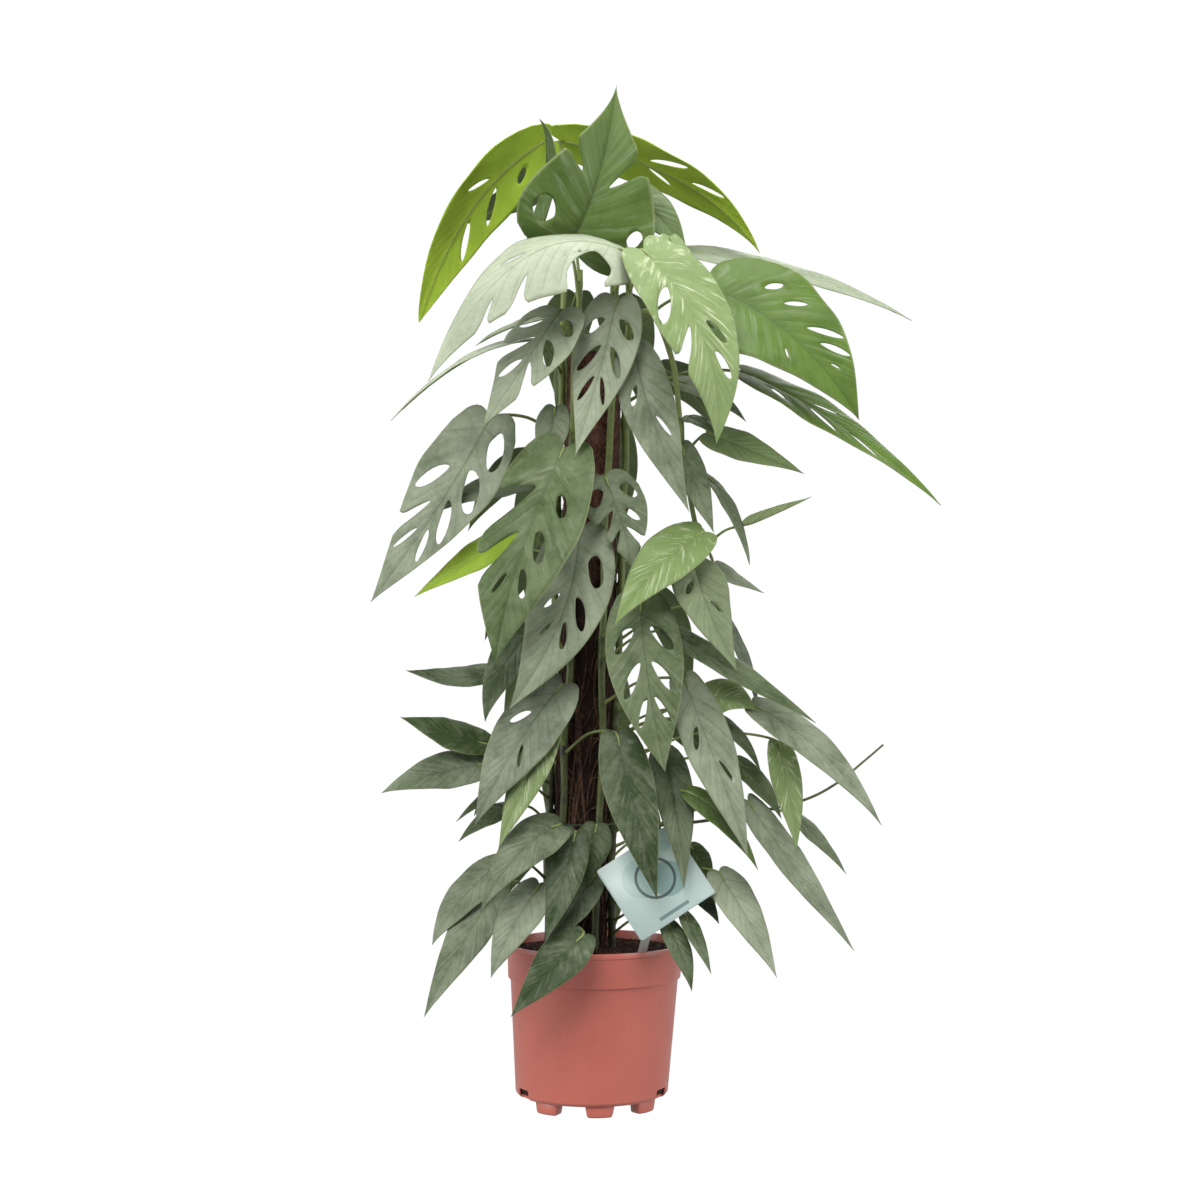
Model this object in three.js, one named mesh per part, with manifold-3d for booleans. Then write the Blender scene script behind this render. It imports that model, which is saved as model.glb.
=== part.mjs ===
// Cebu blue pothos climbing a coir pole in a round nursery pot, in millimetres.
// +Z is up, -Y is the front, and the origin is the middle of the pot's foot plane.
import * as THREE from 'three';
import { mergeVertices } from 'three/addons/utils/BufferGeometryUtils.js';
import Module from 'manifold-3d';

const wasm = await Module();
wasm.setup();

// Clear gap between pieces that touch on the real thing.
const SEAT = 0.3;

// Nursery pot: a thin wall with a rim band, on six feet and a middle pad, with drain notches in the
// foot of its wall. Its foot stands a little to the left of its rim.
const POT_SEGMENTS = 28;
const POT_WALL = 1.6;
const POT_TOP = 174;
const LIP_BOTTOM = 168;
const BAND_BOTTOM = 137;
const POT_BOTTOM = 9.5;
const LIP_RADIUS = 95;
const BAND_TOP_RADIUS = 94;
const BAND_BOTTOM_RADIUS = 92.6;
const WALL_TOP_RADIUS = 90;
const WALL_BOTTOM_RADIUS = 81.8;
const CORNER = 2;
const FOOT_ANGLES = [-130, -83, -38, 50, 97, 142];
const FOOT_WIDTH = 28;
const FOOT_INNER = 60;
const FOOT_OUTER = 77;
const FOOT_SHIFT = 3.9;
const PAD_RADIUS = 14;
const NOTCH_ANGLES = [-152, -26, 28, 152];
const NOTCH_WIDTH = 21;
const NOTCH_TOP = 20;
const NOTCH_DEPTH = 5;

// Potting soil, level a little under the lip.
const SOIL_TOP = 161;
const SOIL_RISE = 3;

// Coir pole: a plastic tube with a wrapped felt skin, leaning a little to the left at its foot.
const POLE_FOOT = [-22, 0, 26];
const POLE_HEAD = [0, 0, 806];
const WRAP_RADIUS = 29;
const CORE_RADIUS = 25.4;
const CORE_BORE = 22.4;
const POLE_SIDES = 16;

// Binding wire round the pole and its stems.
const TIE_HEIGHT = 303;
const TIE_RADIUS = 41.5;
const TIE_THICKNESS = 1.1;

// Plant label: a square card on a flat stake.
const CARD_WIDTH = 92;
const CARD_HEIGHT = 86;
const CARD_THICKNESS = 0.9;
const CARD_CENTRE = [63, -94, 249];
const CARD_FACING = [0.03, -0.97, 0.22];
const CARD_TURN = -33;
const STAKE_WIDTH = 9;
const STAKE_THICKNESS = 1.6;
const STAKE_FOOT = [38, -38, 120];
const STAKE_BEND = 20;

// Stems and leaf stalks.
const STEM_RADIUS = 3.8;
const STEM_SIDES = 5;
const STEM_STEPS = 10;
const BRANCH_RADIUS = 3.4;
const STEM_RING = 35;
const STEM_FOOT = 120;
const STALK_RADIUS = 1.7;
const STALK_SIDES = 3;
const STALK_STEPS = 3;
const NODDING_STEPS = 7;
const STALK_SUNK = 7;

// Leaf blades.
const BLADE = 1;
const BASE_POWER = 0.52;
const TIP_POWER = 1.2;
const LOBE = 0.075;
const VEIN_SLANT = 0.32;

const COLOURS = {
  terracotta: 0xb85f50,
  soil: 0x2e211b,
  coir: 0x6b473c,
  tube: 0x24211f,
  tie: 0x4f7a45,
  card: 0xc4d6d1,
  stake: 0xe6e6e0,
  leaf: 0x74866f,
  young: 0x8fae68,
  lime: 0x8fb238,
};

// Openings in a blade, as stations from the leaf's base to its tip. Each station gives its place along
// the midrib, then the opening on either side: where it starts and ends between midrib and margin, and
// its half height along the leaf. An end past 1 cuts through the margin, and 0 leaves the side whole.
const CUTS = {
  whole: [],
  pair: [
    [0.2, [0.22, 0.66, 0.03], 0],
    [0.4, 0, [0.2, 0.7, 0.028]],
  ],
  few: [
    [0.12, [0.3, 0.62, 0.022], 0],
    [0.3, [0.2, 0.8, 0.028], [0.2, 0.6, 0.02]],
    [0.5, [0.22, 0.88, 0.034], 0],
  ],
  window: [
    [0.12, [0.22, 0.78, 0.034], [0.2, 0.78, 0.036]],
    [0.3, [0.18, 0.88, 0.04], [0.18, 0.86, 0.042]],
    [0.5, [0.2, 0.86, 0.038], [0.18, 0.84, 0.034]],
  ],
  deep: [
    [0.1, [0.24, 0.84, 0.04], [0.22, 0.8, 0.04]],
    [0.28, [0.2, 1.5, 0.045], [0.2, 0.86, 0.05]],
    [0.48, [0.22, 0.88, 0.046], [0.2, 1.5, 0.05]],
  ],
  split: [
    [0.1, [0.26, 0.84, 0.05], [0.3, 0.8, 0.045]],
    [0.3, [0.22, 1.5, 0.055], [0.22, 0.76, 0.044]],
    [0.5, [0.26, 1.5, 0.04], [0.22, 1.4, 0.05]],
  ],
  crest: [
    [0.1, [0.66, 0.86, 0.026], [0.42, 0.8, 0.05]],
    [0.34, [0.16, 1.5, 0.034], [0.32, 1.9, 0.05]],
  ],
  sail: [
    [0.13, 0, [0.24, 1.1, 0.085]],
    [0.42, [0.24, 0.6, 0.018], [0.5, 1.6, 0.024]],
    [0.6, 0, [0.5, 1.3, 0.016]],
  ],
  bib: [
    [0.12, 0, [0.3, 0.74, 0.05]],
    [0.3, [0.25, 0.6, 0.02], [0.26, 0.8, 0.04]],
    [0.46, [0.25, 0.6, 0.02], [0.2, 0.66, 0.044]],
  ],
  lobes: [
    [0.14, [0.2, 1.6, 0.05], [0.3, 0.6, 0.03]],
    [0.32, [0.24, 1.6, 0.04], [0.2, 0.62, 0.05]],
    [0.5, [0.3, 0.7, 0.022], [0.2, 0.66, 0.05]],
  ],
  lattice: [
    [0.08, 0, [0.3, 0.78, 0.05]],
    [0.23, [0.3, 0.88, 0.04], [0.22, 0.88, 0.054]],
    [0.4, [0.34, 1.4, 0.034], [0.2, 0.9, 0.05]],
    [0.56, [0.3, 0.88, 0.026], [0.24, 0.86, 0.044]],
  ],
  gate: [
    [0.16, [0.2, 0.9, 0.036], 0],
    [0.34, [0.3, 1.3, 0.035], [0.3, 0.72, 0.036]],
    [0.5, 0, [0.3, 0.82, 0.045]],
  ],
};

// Leaves by vine. Each row holds: name, height of its node on the stem, base, middle and tip of the
// midrib, direction that the upper face looks in, half width, fold of the halves, openings.
const VINES = {
  vine_front_left: {
    angle: -125,
    top: 880,
    leaves: [
      ['crown', 866, [-27, -44, 916], [4, -70, 985], [23, -52, 1084], [0.3, -0.9, 0.15], 74, 0.4, 'crest', 1.6],
      ['shoulder', 800, [-36, -95, 841], [-68, -120, 789], [-115, -130, 717], [-0.4, -0.8, 0.4], 42, 0.1, 'deep'],
      ['sliver', 815, [-55, -45, 838], [-90, -52, 828], [-126, -55, 809], [-0.3, -0.3, 0.9], 14, 0.2, 'whole'],
      ['heart', 712, [-41, -75, 742], [-46, -86, 708], [-49, -90, 676], [-0.3, -0.9, 0.3], 19, 0.15, 'whole'],
      ['breast', 648, [-32, -100, 697], [-77, -140, 581], [-101, -150, 477], [-0.2, -0.9, 0.4], 53, 0.12, 'lobes'],
      ['bib', 572, [-16, -90, 614], [-36, -118, 520], [-88, -125, 429], [-0.1, -0.95, 0.3], 43, 0.1, 'bib'],
      ['fork', 636, [10, -85, 669], [28, -100, 620], [39, -105, 574], [0.2, -0.9, 0.4], 33, 0.15, 'split'],
      ['dusk', 478, [-59, -75, 515], [-95, -92, 470], [-114, -100, 415], [-0.4, -0.75, 0.5], 25, 0.15, 'whole'],
      ['flank', 412, [-34, -85, 453], [-83, -108, 387], [-123, -120, 310], [-0.3, -0.85, 0.4], 36, 0.12, 'pair'],
      ['apron', 378, [23, -105, 402], [42, -128, 322], [64, -135, 235], [0.1, -0.95, 0.3], 27, 0.12, 'whole'],
      ['spoon', 268, [-36, -100, 309], [-77, -128, 283], [-117, -140, 224], [-0.2, -0.8, 0.55], 27, 0.12, 'whole'],
      ['drip', 214, [-57, -105, 247], [-84, -128, 206], [-106, -140, 157], [-0.2, -0.85, 0.45], 23, 0.12, 'whole'],
      ['plumb', 256, [-20, -95, 301], [-34, -118, 248], [-50, -130, 192], [-0.1, -0.95, 0.3], 20, 0.15, 'whole'],
      ['curtain', 226, [0, -70, 252], [-26, -92, 218], [-55, -106, 176], [-0.3, -0.8, 0.5], 20, 0.12, 'whole'],
      ['bowl', 184, [-12, -116, 198], [-46, -136, 164], [-86, -138, 117], [-0.2, -0.85, 0.5], 25, 0.1, 'whole'],
    ],
  },
  vine_front_right: {
    angle: -60,
    top: 890,
    leaves: [
      ['sail', 848, [34, -108, 898], [-70, -155, 887], [-168, -165, 761], [-0.2, -0.68, 0.7], 58, -0.28, 'sail'],
      ['ribbon', 812, [23, -75, 854], [5, -105, 778], [-20, -115, 690], [-0.1, -0.95, 0.3], 34, 0.12, 'window'],
      ['lance', 764, [40, -80, 803], [62, -108, 721], [97, -120, 631], [0.1, -0.9, 0.35], 29, 0.14, 'pair'],
      ['pleat', 500, [46, -105, 541], [56, -125, 449], [72, -130, 365], [0.1, -0.95, 0.25], 40, 0.1, 'window'],
      ['train', 430, [93, -88, 457], [127, -115, 366], [157, -125, 278], [0.3, -0.85, 0.4], 28, 0.12, 'pair'],
      ['blade', 474, [78, -70, 509], [151, -95, 464], [228, -110, 415], [0.3, -0.6, 0.75], 20, 0.15, 'whole'],
      ['button', 274, [2, -70, 306], [-4, -82, 276], [-10, -90, 245], [-0.1, -0.95, 0.3], 19, 0.1, 'whole'],
    ],
  },
  vine_left: {
    angle: 180,
    top: 900,
    leaves: [
      ['quill', 868, [-66, -30, 915], [-42, -44, 998], [-60, -40, 1050], [-0.8, -0.4, 0], 16, 0.5, 'whole'],
      ['ghost', 890, [-50, 46, 1016], [-94, 70, 982], [-156, 84, 957], [-0.3, 0.4, 0.85], 33, 0.1, 'whole'],
      ['spear', 782, [-62, -60, 814], [-133, -65, 794], [-214, -70, 729], [-0.3, -0.2, 0.93], 24, 0.15, 'whole'],
      ['wing', 716, [-110, -60, 732], [-164, -80, 637], [-233, -90, 539], [-0.25, -0.85, 0.45], 49, 0.1, 'lattice'],
      ['tongue', 634, [-70, -50, 664], [-122, -56, 656], [-177, -62, 628], [-0.3, -0.6, 0.7], 22, 0.15, 'whole'],
      ['dart', 438, [-98, -45, 466], [-150, -60, 460], [-197, -70, 468], [-0.1, -0.6, 0.8], 19, 0.15, 'whole'],
      ['fin', 376, [-112, -50, 389], [-158, -62, 402], [-203, -70, 419], [0, -0.65, 0.75], 24, 0.15, 'whole'],
      ['keel', 342, [-112, -60, 369], [-168, -75, 360], [-222, -85, 341], [-0.1, -0.75, 0.65], 25, 0.15, 'whole'],
      ['snip', 326, [-91, -40, 350], [-119, -52, 331], [-146, -60, 309], [-0.4, -0.6, 0.7], 9, 0.1, 'whole'],
      ['shade', 300, [-88, -48, 325], [-114, -62, 312], [-143, -70, 289], [-0.4, -0.6, 0.7], 16, 0.1, 'whole'],
      ['slope', 240, [-100, -75, 267], [-141, -90, 228], [-169, -95, 184], [-0.4, -0.7, 0.6], 24, 0.12, 'whole'],
      ['hem', 212, [-100, -88, 245], [-137, -112, 186], [-175, -128, 115], [-0.3, -0.8, 0.5], 25, 0.12, 'whole'],
    ],
  },
  vine_right: {
    angle: -12,
    top: 915,
    leaves: [
      ['palm', 822, [120, -52, 868], [206, -84, 814], [273, -104, 727], [0.25, -0.8, 0.55], 71, 0.22, 'few'],
      ['mantle', 856, [24, -30, 968], [62, -46, 950], [98, -56, 902], [0.2, -0.9, 0.4], 28, 0.12, 'whole'],
      ['reach', 892, [104, 0, 915], [222, -2, 890], [340, -8, 841], [0.25, -0.45, 0.86], 28, 0.12, 'whole'],
      ['arm', 752, [157, -40, 782], [257, -62, 725], [361, -80, 640], [0.4, 0.2, 0.88], 40, 0.1, 'few'],
      ['smoke', 728, [87, -10, 775], [125, -20, 760], [161, -30, 731], [0.3, -0.6, 0.7], 18, 0.12, 'whole'],
      ['violet', 498, [128, -30, 536], [157, -44, 480], [172, -56, 422], [0.6, -0.6, 0.5], 11, 0.15, 'whole'],
      ['pike', 402, [124, -52, 420], [152, -66, 396], [174, -74, 361], [0.4, -0.6, 0.6], 11, 0.15, 'whole'],
      ['long', 392, [167, -75, 430], [235, -95, 383], [296, -105, 309], [0.35, -0.75, 0.55], 23, 0.12, 'whole'],
      ['tassel', 352, [70, -84, 384], [84, -102, 326], [92, -112, 243], [0.2, -0.9, 0.3], 22, 0.15, 'whole'],
      ['deep', 336, [148, -50, 372], [174, -60, 346], [196, -65, 312], [0.3, -0.6, 0.7], 16, 0.12, 'whole'],
      ['moss', 306, [96, -104, 343], [134, -113, 314], [168, -117, 264], [0.3, -0.7, 0.6], 16, 0.12, 'whole'],
      ['spur', 276, [210, -30, 314], [238, -40, 286], [266, -45, 252], [0.5, -0.5, 0.7], 14, 0.12, 'whole'],
      ['rail', 292, [160, -70, 330], [210, -88, 260], [269, -95, 178], [0.5, -0.7, 0.5], 22, 0.15, 'whole'],
      ['inner', 252, [100, -45, 282], [113, -54, 266], [125, -60, 247], [0.3, -0.8, 0.5], 13, 0.1, 'whole'],
      ['drop', 226, [129, -68, 256], [157, -92, 213], [188, -106, 152], [0.35, -0.8, 0.45], 23, 0.12, 'whole'],
      ['ink', 214, [100, -60, 242], [117, -70, 224], [130, -75, 203], [0.3, -0.8, 0.5], 10, 0.1, 'whole'],
      ['foot', 182, [74, -84, 207], [90, -106, 176], [100, -115, 139], [0.3, -0.85, 0.4], 13, 0.1, 'whole'],
      ['toe', 196, [92, -84, 216], [106, -104, 190], [120, -114, 157], [0.4, -0.8, 0.4], 10, 0.1, 'whole'],
    ],
    branch: {
      route: [[34, -12, 838], [58, -36, 846], [80, -42, 800], [93, -42, 700], [106, -42, 622], [116, -44, 592]],
      leaves: [
        ['mint', 690, [117, -62, 715], [162, -75, 698], [218, -80, 673], [0.2, -0.75, 0.6], 22, 0.12, 'whole'],
        ['night', 700, [92, -78, 731], [110, -88, 725], [130, -94, 708], [0.2, -0.5, 0.85], 13, 0.15, 'whole'],
        ['claw', 680, [90, -72, 703], [106, -82, 658], [124, -85, 611], [0.3, -0.85, 0.4], 18, 0.12, 'whole'],
        ['hook', 640, [116, -52, 672], [142, -60, 637], [163, -62, 578], [0.5, -0.4, 0.75], 14, 0.15, 'whole', 0.9],
        ['grey', 610, [126, -38, 580], [145, -46, 565], [178, -55, 549], [0.3, -0.6, 0.7], 13, 0.12, 'whole'],
        ['cloak', 600, [103, -88, 582], [116, -112, 534], [146, -120, 468], [0.3, -0.85, 0.4], 31, 0.12, 'pair'],
      ],
    },
    tendril: [[20, -7, 296], [120, -20, 306], [220, -40, 329], [254, -40, 346], [284, -40, 370], [305, -40, 388]],
  },
  vine_back_left: {
    angle: 120,
    top: 900,
    leaves: [
      ['back_1', 850, [-22, 78, 880], [-36, 118, 830], [-42, 138, 760], [-0.3, 0.85, 0.45], 30, 0.12, 'whole'],
      ['back_2', 672, [-70, 56, 702], [-106, 78, 672], [-142, 88, 618], [-0.5, 0.7, 0.5], 26, 0.12, 'whole'],
      ['back_3', 660, [-40, 86, 700], [-62, 124, 622], [-78, 142, 535], [-0.35, 0.88, 0.35], 38, 0.12, 'pair'],
      ['back_4', 566, [-72, 58, 596], [-98, 82, 552], [-124, 98, 496], [-0.6, 0.7, 0.4], 24, 0.12, 'whole'],
      ['back_5', 482, [-46, 80, 520], [-76, 108, 470], [-104, 124, 408], [-0.4, 0.8, 0.45], 25, 0.12, 'whole'],
      ['back_6', 346, [-72, 66, 380], [-106, 88, 345], [-136, 98, 300], [-0.5, 0.7, 0.5], 22, 0.12, 'whole'],
      ['back_7', 384, [-26, 90, 420], [-42, 118, 362], [-56, 132, 298], [-0.25, 0.9, 0.35], 25, 0.12, 'whole'],
      ['back_8', 272, [-22, 88, 308], [-38, 118, 256], [-52, 134, 192], [-0.2, 0.9, 0.4], 24, 0.12, 'whole'],
      ['back_9', 232, [-72, 74, 262], [-104, 98, 222], [-130, 108, 172], [-0.5, 0.7, 0.5], 21, 0.12, 'whole'],
    ],
  },
  vine_back_right: {
    angle: 50,
    top: 880,
    leaves: [
      ['back_10', 842, [24, 76, 876], [40, 120, 832], [50, 146, 762], [0.25, 0.85, 0.45], 32, 0.12, 'whole'],
      ['back_11', 796, [-4, 88, 836], [-12, 128, 756], [-22, 144, 664], [-0.1, 0.92, 0.4], 38, 0.12, 'few'],
      ['back_12', 772, [70, 60, 800], [104, 86, 776], [136, 100, 730], [0.5, 0.7, 0.5], 26, 0.12, 'whole'],
      ['back_13', 696, [16, 88, 736], [14, 128, 658], [4, 144, 566], [0.05, 0.92, 0.35], 32, 0.12, 'whole'],
      ['back_14', 568, [76, 54, 600], [104, 76, 562], [122, 90, 510], [0.5, 0.7, 0.5], 24, 0.12, 'whole'],
      ['back_15', 572, [12, 92, 612], [10, 126, 532], [2, 140, 448], [0.05, 0.95, 0.3], 34, 0.12, 'pair'],
      ['back_16', 524, [66, 70, 552], [90, 98, 498], [108, 116, 436], [0.4, 0.8, 0.45], 24, 0.12, 'whole'],
      ['back_17', 434, [8, 88, 470], [16, 120, 404], [22, 136, 332], [0.1, 0.9, 0.35], 27, 0.12, 'whole'],
      ['back_18', 378, [82, 64, 410], [124, 88, 372], [160, 98, 318], [0.5, 0.7, 0.5], 22, 0.12, 'whole'],
      ['back_19', 304, [32, 84, 340], [54, 112, 286], [70, 128, 222], [0.25, 0.88, 0.4], 24, 0.12, 'whole'],
      ['back_20', 250, [72, 72, 282], [108, 98, 240], [138, 110, 184], [0.5, 0.7, 0.5], 21, 0.12, 'whole'],
      ['back_21', 206, [10, 94, 240], [12, 122, 196], [12, 132, 142], [0, 0.92, 0.4], 21, 0.12, 'whole'],
    ],
  },
};

// Young leaves of a lighter colour, one piece each, seated on the stem named first.
const YOUNG_LEAVES = [
  ['leaf_lime_left', 'vine_left', 'lime', 878, [-52, 5, 1037], [-132, -10, 960], [-188, -25, 836],
    [-0.5, 0.75, 0.43], 45, -0.15, 'few', 0.9],
  ['leaf_lime_right', 'vine_back_left', 'lime', 884, [-38, 25, 1040], [93, 15, 995], [178, 0, 914],
    [0.2, 0.42, 0.85], 41, 0.08, 'few'],
  ['leaf_light_variegated', 'vine_front_right', 'young', 868, [50, -114, 900], [111, -148, 804],
    [123, -155, 698], [0.25, -0.85, 0.45], 44, 0.12, 'gate'],
  ['leaf_light_upper', 'vine_right', 'young', 872, [78, -82, 918], [97, -98, 872], [124, -106, 822],
    [0.4, -0.7, 0.5], 20, 0.1, 'whole'],
  ['leaf_lime_side', 'vine_left', 'lime', 582, [-89, -60, 612], [-133, -76, 581], [-188, -85, 545],
    [-0.3, -0.75, 0.6], 21, 0.1, 'whole'],
  ['leaf_light_front', 'vine_right', 'young', 612, [112, -84, 612], [64, -125, 574], [20, -145, 516],
    [-0.1, -0.85, 0.5], 30, 0.12, 'whole'],
  ['leaf_rolled', 'vine_right', 'young', 596, [158, -50, 620], [186, -55, 631], [227, -60, 650],
    [-0.3, -0.5, 0.8], 8, 0.7, 'whole'],
  ['leaf_light_inner', 'vine_right', 'young', 420, [112, -64, 436], [140, -76, 440], [168, -84, 426],
    [0.1, -0.8, 0.6], 24, 0.1, 'whole'],
  ['leaf_light_hanging', 'vine_right', 'young', 364, [192, -60, 392], [203, -75, 338], [210, -85, 281],
    [0.2, -0.95, 0.25], 17, 0.1, 'whole'],
  ['leaf_light_low', 'vine_front_left', 'young', 386, [-46, -95, 417], [-72, -116, 354], [-99, -125, 287],
    [-0.25, -0.9, 0.35], 21, 0.1, 'whole'],
];

const vec = (p) => new THREE.Vector3(...p);

// A closed geometry as a solid with its shared vertices merged.
function solidOf(geometry) {
  const bare = geometry.index ? geometry.toNonIndexed() : geometry.clone();
  bare.deleteAttribute('normal');
  bare.deleteAttribute('uv');
  const merged = mergeVertices(bare, 1e-4);
  const solid = new wasm.Manifold(new wasm.Mesh({
    numProp: 3,
    vertProperties: new Float32Array(merged.attributes.position.array),
    triVerts: new Uint32Array(merged.index.array),
  }));
  if (solid.volume() > 0) return solid;
  const turned = new Uint32Array(merged.index.array);
  for (let i = 0; i < turned.length; i += 3) {
    [turned[i + 1], turned[i + 2]] = [turned[i + 2], turned[i + 1]];
  }
  return new wasm.Manifold(new wasm.Mesh({
    numProp: 3,
    vertProperties: new Float32Array(merged.attributes.position.array),
    triVerts: turned,
  }));
}

function join(solids) {
  return solids.reduce((whole, next) => whole.add(next));
}

function geometryOf(solid) {
  const mesh = solid.getMesh();
  const geometry = new THREE.BufferGeometry();
  geometry.setAttribute('position', new THREE.BufferAttribute(new Float32Array(mesh.vertProperties), 3));
  geometry.setIndex(new THREE.BufferAttribute(new Uint32Array(mesh.triVerts), 1));
  return geometry;
}

// A regular polygon section.
function polygon(radius, sides) {
  const points = [];
  for (let i = 0; i < sides; i++) {
    const turn = (2 * Math.PI * i) / sides;
    points.push(new THREE.Vector2(radius * Math.cos(turn), radius * Math.sin(turn)));
  }
  return new THREE.Shape(points);
}

// A round bar along a smooth line through the given points.
function bar(points, radius, sides, steps) {
  const path = new THREE.CatmullRomCurve3(points, false, 'centripetal');
  const options = { steps, extrudePath: path, bevelEnabled: false };
  return solidOf(new THREE.ExtrudeGeometry(polygon(radius, sides), options));
}

// Slants an upright shape so that its foot lies left of its rim.
const ASKEW = new THREE.Matrix4().makeShear(0, 0, 0, 0, FOOT_SHIFT / POT_TOP, 0)
  .setPosition(-FOOT_SHIFT, 0, 0);

// A solid of revolution about the pot's axis from [radius, height] pairs that close on themselves or on the axis.
function turned(profile, segments) {
  const points = profile.map(([r, z]) => new THREE.Vector2(r, z));
  const geometry = new THREE.LatheGeometry(points, segments);
  geometry.rotateX(Math.PI / 2);
  return solidOf(geometry.applyMatrix4(ASKEW));
}

function box(x, y, z, place) {
  const geometry = new THREE.BoxGeometry(x, y, z);
  place(geometry);
  return solidOf(geometry);
}

// Middle of the pole at a height, carried on above its head.
function poleAt(z) {
  const share = (z - POLE_FOOT[2]) / (POLE_HEAD[2] - POLE_FOOT[2]);
  return vec(POLE_FOOT).lerp(vec(POLE_HEAD), share);
}

// Middle of a climbing stem at a height: it keeps a ring's distance from the pole and wanders a little.
function stemAt(vine, z) {
  const angle = THREE.MathUtils.degToRad(vine.angle + 3 * Math.sin(z / 70 + vine.angle));
  const middle = poleAt(z);
  return new THREE.Vector3(
    middle.x + STEM_RING * Math.cos(angle),
    middle.y + STEM_RING * Math.sin(angle),
    z,
  );
}

function stemPoints(vine, foot) {
  const points = [];
  const count = 9;
  for (let i = 0; i <= count; i++) {
    points.push(stemAt(vine, foot + ((vine.top - foot) * i) / count));
  }
  return points;
}

function stem(vine, radius = STEM_RADIUS, foot = STEM_FOOT) {
  return bar(stemPoints(vine, foot), radius, STEM_SIDES, STEM_STEPS);
}

// Midrib of a leaf: the parabola through its base, middle and tip, straight on past the base.
function midrib(leaf, x) {
  const control = leaf.mid.clone().multiplyScalar(2)
    .sub(leaf.base.clone().add(leaf.tip).multiplyScalar(0.5));
  const along = Math.max(x, 0);
  const point = leaf.base.clone().multiplyScalar((1 - along) ** 2)
    .addScaledVector(control, 2 * along * (1 - along))
    .addScaledVector(leaf.tip, along ** 2);
  const slope = control.clone().sub(leaf.base).multiplyScalar(2 * (1 - along))
    .addScaledVector(leaf.tip.clone().sub(control), 2 * along);
  if (x < 0) point.addScaledVector(slope, x);
  return { point, tangent: slope.normalize() };
}

// Half width of the outline at m along the margin, as a share of its widest.
function outline(m, taper) {
  const widest = BASE_POWER / (BASE_POWER + taper);
  const peak = widest ** BASE_POWER * (1 - widest) ** taper;
  return (m ** BASE_POWER * (1 - m) ** taper) / peak;
}

// Point of the blade at station s, share t from midrib to margin, on the side +1 or -1.
// A side vein leaves the midrib at s and slants on to meet the margin at m.
function bladePoint(leaf, s, t, side) {
  const m = Math.min(s + VEIN_SLANT * 2.6 * s ** 0.6 * (1 - s) ** 1.2, 1);
  const lobe = LOBE * 7.8 * Math.sqrt(m) * Math.exp(-m / 0.09);
  const x = s + t * (m - lobe - s);
  const across = t * leaf.width * outline(m, leaf.taper);
  const { point, tangent } = midrib(leaf, x);
  const sideways = tangent.clone().cross(leaf.face).normalize();
  const normal = sideways.clone().cross(tangent).normalize();
  const droop = (0.12 * across * across) / leaf.width;
  point.addScaledVector(sideways, side * across);
  point.addScaledVector(normal, leaf.fold * across - droop);
  return { point, normal };
}

// Half height of an opening at share t between midrib and margin.
function openingAt(cut, t) {
  const [from, to, half] = cut;
  if (t <= from || t >= to) return 0;
  return half * Math.sin((Math.PI * (t - from)) / (to - from)) ** 0.6;
}

// Stations of a blade with the shares at which each side is divided.
function bladeRows(leaf) {
  const cuts = CUTS[leaf.cuts];
  if (cuts.length === 0) {
    const plain = leaf.width < 28 ? [0.04, 0.15, 0.38, 0.68] : [0.02, 0.09, 0.22, 0.42, 0.68];
    return plain.map((s) => ({ s, sides: [{ shares: [0, 1] }, { shares: [0, 1] }] }));
  }
  const ends = [[0.02, 0, 0], ...cuts, [0.8, 0, 0]];
  return ends.map(([s, ...openings]) => ({
    s,
    sides: openings.map((cut) => {
      if (!cut) return { shares: [0, 0.22, 0.5, 0.8, 1] };
      const inner = cut[0];
      const outer = Math.min(cut[1], 0.9);
      return { cut, shares: [0, inner, 0.5 * (inner + outer), outer, 1] };
    }),
  }));
}

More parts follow.
